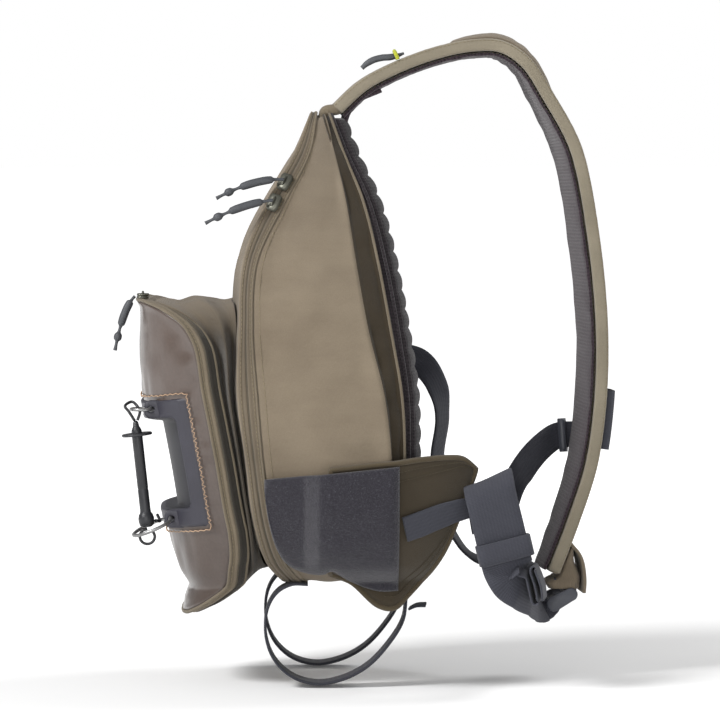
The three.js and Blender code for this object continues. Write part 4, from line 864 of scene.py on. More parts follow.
def make_dock():
    """The dock's frame with its sunk tray, coloured darker as painted shade, and a lug for each ring."""
    rows, in_tray = [], []
    for y in even(-DOCK_HALF, DOCK_HALF, 199):
        row = []
        for z in even(DOCK_LOW, DOCK_HIGH, 111):
            edge = rounded_box(y, z, DOCK_HALF, DOCK_LOW, DOCK_HIGH, 3)
            hole = rounded_box(y, z, DOCK_HALF - SPINE, DOCK_LOW + RAIL, DOCK_HIGH - RAIL, 4)
            rise = mix(-2.5, DOCK_PROUD, ease(edge / 1.8) ** 0.6)
            rise = mix(rise, -DOCK_RECESS, ease(hole / 2.0))
            rise += 0.35 * (ease((hole + 2.6) / 0.8) - ease((hole + 1.6) / 0.8))
            row.append((lid_x(y, z) - rise, y, sunk(y, z)))
            in_tray.append(hole > 0.5)
        rows.append(row)
    obj = cloth_piece("dock_frame", rows, LID_HEART, 1.5, DOCK, ("tippet_dock",), ring=False)
    # The sunk tray takes the darker material as painted shade
    obj.data.materials.append(TRAY_PAINTED_SHADE)
    for face in obj.data.polygons:
        face.material_index = int(in_tray[face.vertices[0]])
    for name, z in (("upper", DOCK_HIGH - RAIL / 2), ("lower", DOCK_LOW + RAIL / 2)):
        make_lug(f"dock_lug_{name}", z)


def eyelet(z):
    return Vector((lid_x(LUG_Y, z) - DOCK_PROUD - 3.2, LUG_Y, sunk(LUG_Y, z)))


def make_lug(name, z):
    """A rounded tab with a hole for a ring, on the dock's near side."""
    centre = eyelet(z)
    half, nose, root, hole_radius = RAIL / 2 - 0.3, 5.3, 11.0, 2.5
    corner = half * 0.75
    outline = []
    for first, level in ((90, half - corner), (180, corner - half)):
        for degrees in range(first, first + 91, 15):
            a = math.radians(degrees)
            outline.append((corner - nose + corner * math.cos(a), level + corner * math.sin(a)))
    outline += [(root * 0.5, -half), (root, -half), (root, 0.0), (root, half), (root * 0.5, half)]
    angles = [math.atan2(h, x) for x, h in outline]
    hole = [(hole_radius * math.cos(a), hole_radius * math.sin(a)) for a in angles]
    rows = []
    for lift, grow, loop in (
        (-2.0, 0.0, outline), (-2.45, -0.7, outline), (-2.45, 0.5, hole), (-2.0, 0.0, hole),
        (2.0, 0.0, hole), (2.45, 0.5, hole), (2.45, -0.7, outline), (2.0, 0.0, outline),
    ):
        row = []
        for x, h in loop:
            scale = (math.hypot(x, h) + grow) / math.hypot(x, h)
            row.append(centre + Vector((x * scale, lift, h * scale)))
        rows.append(row)
    return closed_piece(name, rows, DOCK, joined=True)


# The shoulder strap: x share of its reach, z share of the pack's height, half width and lean
STRAP_REACH, STRAP_HALF, STRAP_THICKNESS = 205.0, 36.0, 9.0
LAYER_GAP, MESH_THICKNESS = 0.8, 4.5
STRAP = (
    (0, 1.014, 0.9, 0), (0.1, 1.068, 1, 0), (0.21, 1.104, 1, 0), (0.37, 1.14, 1, 0),
    (0.52, 1.158, 1, 0), (0.63, 1.155, 1, 0), (0.725, 1.118, 1, 0.02), (0.81, 1.037, 1, 0.06),
    (0.905, 0.923, 1, 0.1), (0.97, 0.726, 1, 0.11), (1, 0.534, 1, 0.11), (0.995, 0.38, 1, 0.11),
    (0.965, 0.24, 0.95, 0.1), (0.9, 0.112, 0.85, 0.09), (0.83, -0.003, 0.72, 0.08),
)
STRAP_ROOT = body_x(BACK, BODY_HEIGHT)
STRAP_LINE = [Vector((STRAP_ROOT + x * STRAP_REACH, 0, z * BODY_HEIGHT)) for x, z, _, _ in STRAP]


def strap_value(t, column):
    """A column of the strap's table at t, straight between its rows."""
    place = clamp(t) * (len(STRAP) - 1)
    k = min(int(place), len(STRAP) - 2)
    return mix(STRAP[k][column], STRAP[k + 1][column], place - k)


def strap_half(t):
    return STRAP_HALF * strap_value(t, 2)


def on_strap(t, reach, depth, share=True):
    """A point of the strap: reach across it as a share of its half width, or in mm."""
    point, run = curve_point(STRAP_LINE, t), curve_run(STRAP_LINE, t)
    across = reach * strap_half(t) if share else reach
    inwards = depth + across * strap_value(t, 3)
    return Vector((point.x + run.z * inwards, across, point.z - run.x * inwards))


def strap_loft(name, top, bottom, trim, bulge, wrinkle, look, nodes):
    """A padded layer of the strap between two depths."""
    middle, thick = (top + bottom) / 2, (bottom - top) / 2
    rows = []
    for t in even(0.004, 0.996, 220):
        half = strap_half(t) - trim
        row = []
        for c, s in around(56):
            y, flat = half * signed_power(c, 0.28), signed_power(s, 0.6)
            uneven = wrinkle * noise_at(t * 60, y * 0.05, 1 if s > 0 else 7) * abs(flat)
            depth = middle - flat * (thick - bulge * (y / half) ** 2) + uneven
            row.append(on_strap(t, y, clamp(depth, top, bottom), share=False))
        rows.append(row)
    closed_piece(name, rows, look, nodes)


# Flat strips: sections hold a centre, a width direction and a width

RIBBON_SHARES = (-1, -0.94, -0.6, -0.2, 0.2, 0.6, 0.94, 1)


def ribbon(name, sections, thickness, look, nodes, steps=0):
    centres = [Vector(at) for at, _, _ in sections]
    ways = [Vector(way).normalized() for _, way, _ in sections]
    rows, line, widths = [], [], []
    for t in even(0, 1, steps or len(sections) * 8):
        centre = curve_point(centres, t)
        run = curve_run(centres, clamp(t, 1e-3, 1 - 1e-3))
        place = t * (len(sections) - 1)
        k = min(int(place), len(sections) - 2)
        part = ease(place - k)
        across = square_to(ways[k].lerp(ways[k + 1], part), run)
        face = run.cross(across).normalized()
        width = mix(sections[k][2], sections[k + 1][2], part)
        crown = 0.12 * noise_at(t * 30, 0.5, len(name))
        row = []
        for side, shares in ((1, RIBBON_SHARES), (-1, RIBBON_SHARES[::-1])):
            for share in shares:
                thick = side * thickness / 2 * (0.45 if abs(share) == 1 else 1)
                lift = thick + crown * (1 - share * share)
                row.append(centre + across * (share * width / 2) + face * lift)
        rows.append(row)
        line.append(centre)
        widths.append(width)
    obj = closed_piece(name, rows, look, nodes)
    width = sum(widths) / len(widths)


# Wing and patch on the pack's side

WING_START, WING_HINGE, WING_REACH = -BODY_DEPTH * 0.5, -BODY_DEPTH * 0.17, 40.0
WING_THICKNESS, SEAT_GAP, PATCH_THICKNESS = 5.0, 3.0, 3.0
WING_SLOPE, WING_CURL, WING_TOP = 0.28, 0.0022, BODY_HEIGHT * 0.35


def seat(x, z):
    """Distance sideways of the wing's seat on the pack."""
    return side_half(min(x, WING_HINGE), clamp(z, 2, WING_TOP)) + SEAT_GAP


def wing_y(x, z):
    """The wing swings in towards the wearer behind its hinge."""
    swing = max(x - WING_HINGE, 0)
    return seat(x, z) - swing * WING_SLOPE - swing * swing * WING_CURL


def wing_x(share):
    return mix(WING_HINGE, WING_REACH, share)


SEATED = (0, 0.35, 0.8)  # shares of the way from the wing's front end to its hinge
WING_LOWER = [(mix(WING_START, WING_HINGE, share), z) for share, z in zip(SEATED, (8.4, 1.75, -15.75))]
WING_LOWER += [(wing_x(share), z) for share, z in (
    (0.04, -17.5), (0.2, -8.4), (0.42, 7.0), (0.62, 26.25), (0.79, 52.5), (0.97, 82.25))]
WING_UPPER = [(mix(WING_START, WING_HINGE, share), z) for share, z in zip(SEATED, (87.5, 89.25, 91.7))]
WING_UPPER += [(wing_x(share), z) for share, z in (
    (0.05, 92.75), (0.25, 94.5), (0.45, 95.5), (0.65, 95.9), (0.84, 94.5), (0.99, 86.8))]
PATCH_FRONT, PATCH_REAR = -BODY_DEPTH * 0.86, -BODY_DEPTH * 0.13
PATCH_LOWER = [(mix(PATCH_FRONT, PATCH_REAR, s), BODY_HEIGHT * z) for s, z in (
    (0, 0.205), (0.03, 0.14), (0.09, 0.08), (0.17, 0.045), (0.3, 0.026), (0.44, 0.024),
    (0.5, 0.032), (0.64, 0.008), (0.84, -0.012), (1, -0.012))]
PATCH_UPPER = [
    (mix(PATCH_FRONT, PATCH_REAR, i / 9), BODY_HEIGHT * mix(0.229, 0.26, i / 9)) for i in range(10)
]


def patch_y(x, z):
    """The patch lies on the pack in front and steps up onto the wing."""
    step = clamp((x - WING_START + 20) / 12)
    return seat(x, z) - max(x - WING_HINGE, 0) * WING_SLOPE + 2.2 + (WING_THICKNESS + 0.9) * step


def slab(name, lower, upper, face_y, thickness, look, nodes, steps, columns, puffed, ruffle):
    """A slab on the pack's near side between two lines of x, z pairs."""
    low_line = [Vector((x, 0, z)) for x, z in lower]
    high_line = [Vector((x, 0, z)) for x, z in upper]
    outer, rows = [], []
    for i in range(steps + 1):
        low, high = curve_point(low_line, i / steps), curve_point(high_line, i / steps)
        line, under = [], []
        for k in range(columns + 1):
            p = low.lerp(high, k / columns)
            edge = min(k, columns - k, i, steps - i)
            inward = ease(edge / 8)
            uneven = ruffle * noise_at(p.x * 0.05, 3, p.z * 0.06) * inward
            rounded = 1 - 0.45 * (1 - min(edge / 3, 1)) ** 2
            out = thickness * rounded + puffed * (inward - 1) * 0.5 + uneven
            line.append(Vector((p.x, -(face_y(p.x, p.z) + out), p.z)))
            under.append(Vector((p.x, -face_y(p.x, p.z), p.z)))
        outer.append(line)
        rows.append(line + under[::-1])
    closed_piece(name, rows, look, nodes)
    return outer


def border(outer):
    """The rim of a slab's outer face as one closed line."""
    line = [row[0] for row in outer]
    line += outer[-1][1:]
    line += [row[-1] for row in reversed(outer[:-1])]
    line += list(reversed(outer[0][1:-1]))
    return line


# Assembly

make_side("side_cloth", 0.0, RIDGE_AT, TAUPE, ("rear_shell",))
# The side wall behind the ridge takes the darker cloth as painted shade
make_side("side_cloth_back", RIDGE_AT, PAD_AT, SIDE_BACK_PAINTED_SHADE)
make_side("pad_wall", PAD_AT, 1.0, PAD, closed=True)
piping("pad_wall_piping", ring_path(PAD_AT, 0.3), 1.1, PIPING)
make_front()
zip_band("main_zip_tape", main_band, ("main_zip",), "main_zip_coil")
piping("seam_piping", ring_path(1.0, 0.2), 1.3, PAD)
piping("zip_piping", ring_path(0.0, 0.3), 1.0, PIPING)
stitches("side_stitches", ring_path(0.03, -0.3), THREAD, closed=True)
stitches("tape_stitches_rear", main_band(0.84, 0.75), THREAD, closed=True)
stitches("tape_stitches_front", main_band(0.16, 0.75), THREAD, closed=True)
make_pad()
make_gusset()
zip_band("pocket_zip_tape", pocket_band, ("pocket_zip",), "pocket_zip_coil", BAND, BAND_REAR_PAINTED_SHADE, fall=4.2)
piping("pocket_piping", pocket_band(1.0, 0.2), 1.4, PIPING, steps=260)
piping("gusset_piping", pocket_band(0.0, -4.0), 1.2, PIPING, steps=260)
stitches("pocket_stitches", pocket_band(0.86, 0.75), THREAD, closed=True)
make_lid()
make_dock()


def dock_zigzag():
    """Zigzag stitching round the dock's frame."""
    corner, swing, count = 1.5, 1.1, 300
    half, low, high = DOCK_HALF + 2.4, DOCK_LOW - 2.8, DOCK_HIGH + 2.8
    middle = Vector((0, (low + high) / 2, 0))
    loop, path = [], []
    for cy, cz, start in (
        (half - corner, high - corner, 0), (corner - half, high - corner, 90),
        (corner - half, low + corner, 180), (half - corner, low + corner, 270),
    ):
        for degrees in range(start, start + 91, 30):
            a = math.radians(degrees)
            loop.append(Vector((cy + corner * math.cos(a), cz + corner * math.sin(a), 0)))
    for i, p in enumerate(spaced(loop, count, closed=True)):
        y, z, _ = p + (p - middle).normalized() * (swing if i % 2 else -swing)
        path.append(Vector((lid_x(y, z) - 1.6, y, sunk(y, z))))
    return tube("dock_zigzag", path, 0.4, TAN_THREAD, closed=True, steps=count, sides=5)


dock_zigzag()

upper_eye, lower_eye = eyelet(DOCK_HIGH - RAIL / 2), eyelet(DOCK_LOW + RAIL / 2)
POST_TOP = Vector((upper_eye.x - 11, LUG_Y - 4, upper_eye.z - 15))
POST_FOOT = Vector((lower_eye.x - 19, LUG_Y - 4, lower_eye.z + 2))
POST_AXIS = POST_TOP - POST_FOOT
POST_LENGTH = POST_AXIS.length


def ring(name, centre, diameter, tilt, roll, node):
    """A wire ring, rolled about x and then tilted about y."""
    points = []
    for c, s in around(48):
        x, y, z = c * diameter / 2, s * diameter / 2 * math.cos(roll), s * diameter / 2 * math.sin(roll)
        tilted = (x * math.cos(tilt) + z * math.sin(tilt), y, z * math.cos(tilt) - x * math.sin(tilt))
        points.append(Vector(centre) + Vector(tilted))
    return tube(name, points, 1.3, WIRE, (node,), closed=True, steps=64, sides=12)


LOWER_TILT = -0.4
ring("upper_ring", upper_eye - Vector((7.5, 0, 0)), 15, 0, 0, "ring_upper")
ring(
    "lower_ring",
    lower_eye + Vector((-15.5 * math.cos(LOWER_TILT), 0, 15.5 * math.sin(LOWER_TILT))),
    31, LOWER_TILT, 0.1, "ring_lower",
)
turned("post", POST_FOOT, POST_AXIS, (
    (0, -8), (3.2, -7.8), (5.2, -6.4), (5.9, -3.5), (5.9, -1), (5.2, 1.6), (4.2, 3), (4, 5),
    (4, 20), (3.8, 20.4), (3.8, 21.2), (4, 21.6), (4, POST_LENGTH * 0.9), (3.9, POST_LENGTH - 1),
    (3.2, POST_LENGTH + 1), (2.4, POST_LENGTH + 2.4), (1.9, POST_LENGTH + 5.6), (0.8, POST_LENGTH + 6.8),
), BLACK, ("tippet_post",))
LEVEL = POST_LENGTH * 0.93
turned("stop_disc", POST_FOOT, POST_AXIS, (
    (4.3, LEVEL + 0.2), (4.6, LEVEL), (10.8, LEVEL), (11.4, LEVEL + 0.5), (11.4, LEVEL + 1.5),
    (10.8, LEVEL + 2), (6.4, LEVEL + 2), (6, LEVEL + 1.7), (4.6, LEVEL + 2), (4.3, LEVEL + 1.8),
    (4.3, LEVEL + 0.2),
), BLACK, ("tippet_stop",))
axis = POST_AXIS.normalized()
top = POST_TOP + axis * 5.6
tube("post_loop", [
    top + Vector((-0.8, 0, 1.2)), top + Vector((-5, -1.5, 8)),
    Vector((upper_eye.x - 19.5, top.y, upper_eye.z + 2.5)),
    Vector((upper_eye.x - 14.5, LUG_Y + 1, upper_eye.z + 5.5)),
    Vector((upper_eye.x - 10, top.y, upper_eye.z + 2)), top + Vector((3.2, 0.5, 8)),
    top + Vector((1.4, 0.2, 1.4)),
], 1.1, BLACK, ("tippet_loop",), steps=48)
hook_centre = POST_FOOT - axis * 8.6 - Vector((0, 0, 6.4))
hook_angles = even(0.5 * math.pi, 2.22 * math.pi, 8)
hook = [hook_centre + Vector((math.cos(a), 0, math.sin(a))) * 5.6 for a in hook_angles]
tube("post_hook", hook, 1.1, BLACK, ("tippet_hook",), steps=48)
tube("post_clip", [
    POST_FOOT + Vector((6.9, 2, -3.2)), POST_FOOT + Vector((10, 6, -4)),
    Vector((POST_FOOT.x + 9.5, LUG_Y + 10.5, POST_FOOT.z - 3)),
    Vector((POST_FOOT.x + 8, LUG_Y + 16, POST_FOOT.z - 0.5)),
], 1.2, BLACK, ("tippet_clip",), steps=32)

# Shoulder strap
strap_loft("strap_cloth", 0, STRAP_THICKNESS, 0.6, 0.7, 0.7, TAUPE, ("shoulder_strap",))
strap_loft(
    "strap_mesh_pad", STRAP_THICKNESS + 0.2, STRAP_THICKNESS + LAYER_GAP + MESH_THICKNESS, 2.4, 0.9, 0.8,
    MESH, ("strap_mesh",),
)
EDGE_TRIM = 2.2


def strap_edge(name, side):
    """The binding that wraps one edge of the strap."""
    rows = []
    for t in even(0.006, 0.994, 240):
        deep = 4.7 + 0.18 * noise_at(t * 160, side, 4)
        row = []
        for c, s in around(20):
            reach = side * (strap_half(t) - EDGE_TRIM) + 2.4 * signed_power(c, 0.8)
            depth = STRAP_THICKNESS / 2 + 0.2 + deep * signed_power(s, 0.55)
            row.append(on_strap(t, reach, depth, share=False))
        rows.append(row)
    return closed_piece(name, rows, BINDING)


for side, word in ((-1, "near"), (1, "far")):
    strap_edge(f"strap_binding_{word}", side)
    for part, out, depth, thread in (
        ("inner", -EDGE_TRIM, STRAP_THICKNESS + LAYER_GAP + 0.6, DARK_THREAD), ("outer", 0.1, 1.4, THREAD),
    ):
        seam = [on_strap(t, side * (strap_half(t) + out), depth, share=False) for t in even(0.01, 0.985, 120)]
        stitches(f"strap_stitches_{word}_{part}", seam, thread, pitch=3, length=2, radius=0.3)


def strap_pillow():
    """The padded pocket on the strap's outer face."""
    rows = []
    for part in even(0, 1, 60):
        t = mix(0.25, 0.5, part)
        rise = 4.3 * math.sin(math.pi * part) ** 0.5 + 0.5
        row = []
        for share in even(-0.78, 0.78, 30):
            edge = 1 - abs(share / 0.78) ** 5
            uneven = 0.5 * noise_at(t * 50, share * 3, 1)
            row.append(on_strap(t, share, -(rise * (0.15 + 0.85 * edge)) - uneven * edge))
        rows.append(row)
    inside = on_strap(0.375, 0, 20)
    return cloth_piece("strap_pillow", rows, inside, 1.0, TAUPE, ("strap_pocket",), ring=False)


strap_pillow()
root_x = body_x(BACK, BODY_HEIGHT)
ribbon("strap_root", [
    (on_strap(0.03, 0, 4.6), ACROSS, 64), (on_strap(0.008, 0, 5.2), ACROSS, 62),
    ((root_x - 3.5, 0, 351), ACROSS, 60), ((root_x - 5, 0, 346), ACROSS, 58),
], 8.4, PIPING, ())
ribbon("mesh_fold", [
    ((root_x + 9, 0, 338), ACROSS, 52), ((root_x + 12, 0, 349), ACROSS, 56),
    ((root_x + 19, 0, 359), ACROSS, 60), (on_strap(0.105, 0, 14.2), ACROSS, 62),
], 5.0, MESH, ())
LOOP_PLACE, LOOP_SIDE = 0.15, -0.82
tube("lime_loop", [
    on_strap(LOOP_PLACE + 0.01, LOOP_SIDE + side, depth)
    for side, depth in ((-0.16, -0.4), (-0.15, -4.8), (0, -7.2), (0.15, -4.8), (0.16, -0.4))
], 1.5, LIME, ("strap_loop",), steps=40)
PULL = (  # share of the length and of the full radius
    (0, 0.4), (0.16, 0.45), (0.2, 0.9), (0.42, 1.02), (0.64, 0.92), (0.68, 0.45), (0.76, 0.45),
    (0.8, 0.95), (0.86, 0.95), (0.89, 0.42), (1, 0.5),
)
STRAP_PULL = (
    (0.022, -3.0), (0.012, -3.2), (0, -4.4), (-0.012, -6.4), (-0.03, -7.8), (-0.046, -7.6), (-0.058, -6.6),
)
tube(
    "rubber_pull", [on_strap(LOOP_PLACE + t, LOOP_SIDE, depth) for t, depth in STRAP_PULL],
    lambda t: 1.0 + 1.5 * ease(t * 3) * (1 - 0.5 * ease((t - 0.7) / 0.3)),
    RUBBER, ("strap_pull",), steps=50,
)


def strap_tab():
    """A flat tab on the strap's outer face."""
    lift, height, crown, columns = 0.3, 2.2, 0.6, 12
    shares = even(-0.6, -0.1, columns)
    rows = []
    for t in even(0.752, 0.768, 24):
        row = []
        for k, share in enumerate(shares):
            edge = 0.75 + 0.25 * ease(min(k, columns - k) / 2)
            bulge = crown * math.sin(math.pi * k / columns)
            row.append(on_strap(t, share, -lift - height * edge - bulge))
        rows.append(row + [on_strap(t, share, -lift) for share in reversed(shares)])
    return closed_piece("strap_tab_cloth", rows, TAUPE, ("strap_tab",))


def tool_sleeve():
    """An open flat sleeve with a bound upper mouth."""
    left, right, depth, wall = -0.74, 0.05, 7.6, 1.4
    places = even(0.775, 0.838, 20)

    def ring_at(t, grow):
        deep = wall if grow else 0
        low, high, middle = -0.3 - deep, -0.3 - depth + deep, mix(left, right, 0.5)
        side = ((0, low), (0.01, -depth * 0.55), (0.06, high + 0.8), (0.1, high))
        corners = [(left + grow + inset, level) for inset, level in side]
        corners.append((middle, high - 0.2))
        corners += [(right - grow - inset, level) for inset, level in reversed(side)]
        corners.append((middle, low))
        return [on_strap(t, share, level) for share, level in corners]

    rows = [ring_at(t, 0) for t in places] + [ring_at(t, wall / STRAP_HALF) for t in reversed(places)]
    return closed_piece("sleeve_cloth", rows, SLATE, ("tool_sleeve",), joined=True)


strap_tab()
tool_sleeve()

# Buckle, webbing and tabs below the strap
WIDE, NARROW, CRADLE, WEB = 38.0, 20.0, 26.0, 2.0
STRAP_END = on_strap(1, 0, STRAP_THICKNESS / 2)
BUCKLE = Vector((STRAP_END.x - 2, 0, STRAP_END.z - 18))
LOCK_SIDE = WIDE / 2 + 1.5
BARS, BAR_RADIUS = ((6, -3), (17, 3)), 2.2


def ladder_lock():
    """Two cheeks with two round bars between them."""
    outline = []
    for cx, cz, r, start, end in ((5, -4, 6, 0.6, 1.6), (18, 3, 5, 1.6, 2.6)):
        for a in even(start * math.pi, end * math.pi, 10):
            outline.append((BUCKLE.x + cx + r * math.cos(a), BUCKLE.z + cz + r * math.sin(a)))
    middle = (BUCKLE.x + 11.5, BUCKLE.z - 0.5)
    for word, y, nodes in (("near", -LOCK_SIDE - 3.5, ("ladder_lock",)), ("far", LOCK_SIDE, ())):
        rows = [
            [(mix(middle[0], x, grow), y + offset, mix(middle[1], z, grow)) for x, z in outline]
            for offset, grow in ((0, 0.9), (0.5, 0.97), (1, 1), (2.5, 1), (3, 0.97), (3.5, 0.9))
        ]
        closed_piece(f"buckle_cheek_{word}", rows, LOCK, nodes)
    for word, (x, z) in zip(("front", "rear"), BARS):
        ends = [(BUCKLE.x + x, y, BUCKLE.z + z) for y in (-LOCK_SIDE, 0, LOCK_SIDE)]
        tube(f"buckle_bar_{word}", ends, BAR_RADIUS, LOCK, steps=12, sides=16)


ladder_lock()
bar_x, bar_z = BUCKLE.x + BARS[1][0], BUCKLE.z + BARS[1][1]
turn = BAR_RADIUS + WEB / 2 + 0.6
anchor = [(STRAP_END.x + 3.4, STRAP_END.z - 3.2), (bar_x - turn, bar_z + 5)]
anchor += [
    (bar_x + turn * math.cos(a), bar_z + turn * math.sin(a)) for a in even(math.pi, 2 * math.pi, 4)
]
anchor += [(bar_x + turn + 0.6, bar_z + 6), (bar_x + turn - 0.4, bar_z + 12)]
ribbon("anchor_web", [((x, 0, z), ACROSS, WIDE) for x, z in anchor], WEB, SLATE,
       ("anchor_webbing",))
tab_top = on_strap(0.955, 0, -2.05)
LEAN = (-0.078, 1, 0.045)
ribbon("anchor_flap", [((x, 0, z), LEAN, WIDE + 6) for x, z in (
    (tab_top.x, tab_top.z), (tab_top.x + 5.5, tab_top.z - 7), (STRAP_END.x + 23.5, STRAP_END.z + 9),
    (STRAP_END.x + 25, STRAP_END.z - 4), (STRAP_END.x + 24.4, STRAP_END.z - 14),
)], 2.5, TAUPE, ("anchor_tab",))

FOLD_LEFT = ((0, tab_top.x + 0.5), (0.7, STRAP_END.x + 4.6), (0.84, STRAP_END.x - 3), (1, STRAP_END.x - 1))
FOLD_RIGHT = ((0, tab_top.x + 3), (0.35, STRAP_END.x + 19), (0.7, STRAP_END.x + 23.4), (1, STRAP_END.x + 23))


def anchor_fold():
    """The cloth between the strap's end and its outer flap, drawn into soft pleats."""
    rows = []
    for s in even(0, 1, 24):
        z = mix(tab_top.z - 3, STRAP_END.z - 11, s)
        left, right = lookup(FOLD_LEFT, 1, s), lookup(FOLD_RIGHT, 1, s)
        row = []
        for c, e in around(36):
            pleat = 1.1 * noise_at(c * 2.2, z * 0.09, 5) * abs(e)
            x = mix(left, right, 0.5 + 0.5 * signed_power(c, 0.5))
            y = (20.5 - 1.5 * math.sin(math.pi * s) + pleat) * signed_power(e, 0.4)
            row.append((x, y, z))
        rows.append(row)
    return closed_piece("anchor_fold", rows, TAUPE)


anchor_fold()


def near(x, z, proud):
    return -(wing_y(x, z) + WING_THICKNESS) - proud


web_rows = []
for share, height, width in (
    (0.15, 0.125, 1), (0.32, 0.135, 1), (0.55, 0.15, 0.95), (0.78, 0.162, 0.85), (0.95, 0.167, 0.75),
):
    x, z = wing_x(share), BODY_HEIGHT * height
    slope = wing_y(x, z + NARROW / 2) - wing_y(x, z - NARROW / 2)
    web_rows.append(((x, near(x, z, 2.2), z), (0, -slope, NARROW), NARROW * width))
last = web_rows[-1][0]
for dx, dy, dz in ((9, 1.6, 2), (17, 3.4, 4)):
    web_rows.append(((last[0] + dx, last[1] + dy, last[2] + dz), (-0.2, 0, 1), NARROW * 0.7))
ribbon("wing_web", web_rows, WEB, SLATE, ("wing_webbing",))

FOLD = Vector((WING_REACH + 12.5, near(WING_REACH, BODY_HEIGHT * 0.2, 5), BODY_HEIGHT * 0.219))
SLANT = (0.9, 0.12, 0.4)
SLING = (  # share from the wing to the buckle, y offset, share of the height, width direction
    (0.07, 15, 0.62, SLANT), (-0.04, 14, 0.92, SLANT), (-0.09, 2.5, 1.03, SLANT), (-0.07, -8.5, 0.94, SLANT),
    (0.06, -10, 0.68, SLANT), (0.17, -10, 0.46, SLANT), (0.22, -9, 0.36, SLANT),
    (0.31, -7, 0.27, (0.76, 0.25, 0.52)), (0.48, 0, 0.2, (0.42, 0.35, 0.8)),
    (0.66, 20, 0.13, (0.22, 0.65, 0.7)),
    (0.77, 50, 0.06, (0.12, 0.9, 0.35)), (0.84, 80, 0.0, (0, 1, 0.08)),
    (0.9, None, -0.015, ACROSS), (1.02, None, -0.02, ACROSS),
)


def sling_point(x, y, z):
    return Vector((mix(FOLD.x, BUCKLE.x, x), 0.0 if y is None else FOLD.y + y, mix(BUCKLE.z, FOLD.z, z)))


ribbon("sling_web", [(sling_point(x, y, z), across, WIDE) for x, y, z, across in SLING], WEB, SLATE,
       ("sling_webbing",), steps=160)
low, high = sling_point(*SLING[5][:3]), sling_point(*SLING[4][:3])


def sleeve(name, centre, along, across, half_length, half_width, half_depth, wall, look, nodes):
    """A short flat tube with rounded corners round a strip."""
    run = Vector(along).normalized()
    side = square_to(Vector(across), run)
    lift = run.cross(side)
    rows = []
    for length, grow in ((-1, 0.4), (-0.94, 1), (0.94, 1), (1, 0.4), (1, 0), (-1, 0)):
        w, d = half_width + wall * grow, half_depth + wall * grow
        middle = Vector(centre) + run * (length * half_length)
        rows.append([
            middle + side * (w * signed_power(c, 0.3)) + lift * (d * signed_power(s, 0.5))
            for c, s in around(40)
        ])
    return closed_piece(name, rows, look, nodes, joined=True)


sleeve("keeper_web", low + Vector((0.2, 1.4, 2)), high - low, SLANT, 8, WIDE / 2 + 0.6, 5.4, 1.2,
       SLATE, ("webbing_keeper",))
EDGE_ON = (0.15, 0.98, 0)
TAIL = (  # place from the keeper's middle and width direction
    ((0.4, 5.2, 9), SLANT), ((3, 6, -4), SLANT), ((12, 8, -8), (0.5, 0.85, 0.1)),
    *((at, EDGE_ON) for at in (
        (17.5, 10, -17), (20.5, 10, -29), (23, 10, -37), (26, 10, -36.5), (24.8, 10, -26),
        (21, 10, -12), (22.5, 10, -10.5), (28.5, 10, -24), (30, 10, -35),
    )),
)
ribbon("tail_web", [(low + Vector(at), across, WIDE - 7) for at, across in TAIL], 1.6, SLATE,
       ("webbing_tail",))

STABILISER_START = BODY_HEIGHT * 0.457
pad_edge = body_half(STABILISER_START) * SEAM_SHARE
strap_side = on_strap(0.832, 1, STRAP_THICKNESS * 0.5)
STABILISER = (  # shares from the pad to the strap, share of the height and width direction
    (0.036, -0.038, 0.457, (0, 0, 1)),
    (0.131, -0.074, 0.443, (0, 0.1, 1)),
    (0.225, -0.044, 0.389, (0.5, 0.5, 0.6)),
    (0.253, 0, 0.32, (0.5, 0.8, 0.1)),
    (0.225, 0.059, 0.234, (0.5, 0.85, 0)),
    (0.239, 0.236, 0.149, (0.4, 0.9, 0)),
    (0.289, 0.502, 0.08, (0.2, 0.95, 0)),
    (0.375, 0.767, 0.034, (0.1, 1, 0)),
    (0.476, 1.033, 0.023, (0, 1, 0.1)),
    (0.555, 1.298, 0.049, (-0.2, 0.9, 0.2)),
    (0.583, 1.446, 0.114, (-0.5, 0.75, 0.1)),
    (0.619, 1.416, 0.183, (-0.5, 0.6, 0.4)),
    (0.691, 1.239, 0.231, (-0.35, 0.35, 0.8)),
    (0.784, 1.062, 0.269, (-0.2, 0.2, 0.9)),
)
pad_x = body_x(BACK, STABILISER_START)
stabiliser = []
for x, y, z, across in STABILISER:
    at = (mix(pad_x, strap_side.x, x), mix(pad_edge, strap_side.y, y), BODY_HEIGHT * z)
    stabiliser.append((at, across, NARROW))
for offset, across in (((-17.1, 4.8, -0.1), (-0.15, 0.1, 1)), ((-4, 2.2, 1), (-0.1, 0, 1))):
    stabiliser.append((strap_side + Vector(offset), across, NARROW))
ribbon("stabiliser_web", stabiliser, WEB, DARK_WEB, ("stabiliser_strap",), steps=120)
near_end, far_end = Vector(stabiliser[-2][0]), Vector(stabiliser[-1][0])
along = far_end - near_end
BAR_LIFT = 3.5
sleeve("stabiliser_bar", near_end + along.normalized() * BAR_LIFT, along, (-0.15, 0.1, 1), 3,
       NARROW / 2 + 1.2, WEB / 2 + 1.8, 1.8, LOCK, ("stabiliser_buckle",))

# Wing and patch
# The wing's cloth is darkened as painted shade
wing = slab("wing_cloth", WING_LOWER, WING_UPPER, wing_y, WING_THICKNESS, WING_PAINTED_SHADE, ("hip_wing",),
            steps=60, columns=48, puffed=1.2, ruffle=1.1)
piping("wing_piping", border(wing), 2.3, WELT, steps=280)
for word, step in (("outer", 4), ("inner", 7)):
    proud, shown = Vector((0, -0.3, 0)), wing[18:]
    line = [row[step] + proud for row in shown] + [row[-step] + proud for row in reversed(shown)]
    stitches(f"wing_stitches_{word}", line, DARK_THREAD, pitch=2.4, length=2.1, radius=0.4)
slab("patch_felt", PATCH_LOWER, PATCH_UPPER, patch_y, PATCH_THICKNESS, FELT, ("fly_patch",),
     steps=70, columns=56, puffed=0.0, ruffle=0.8)

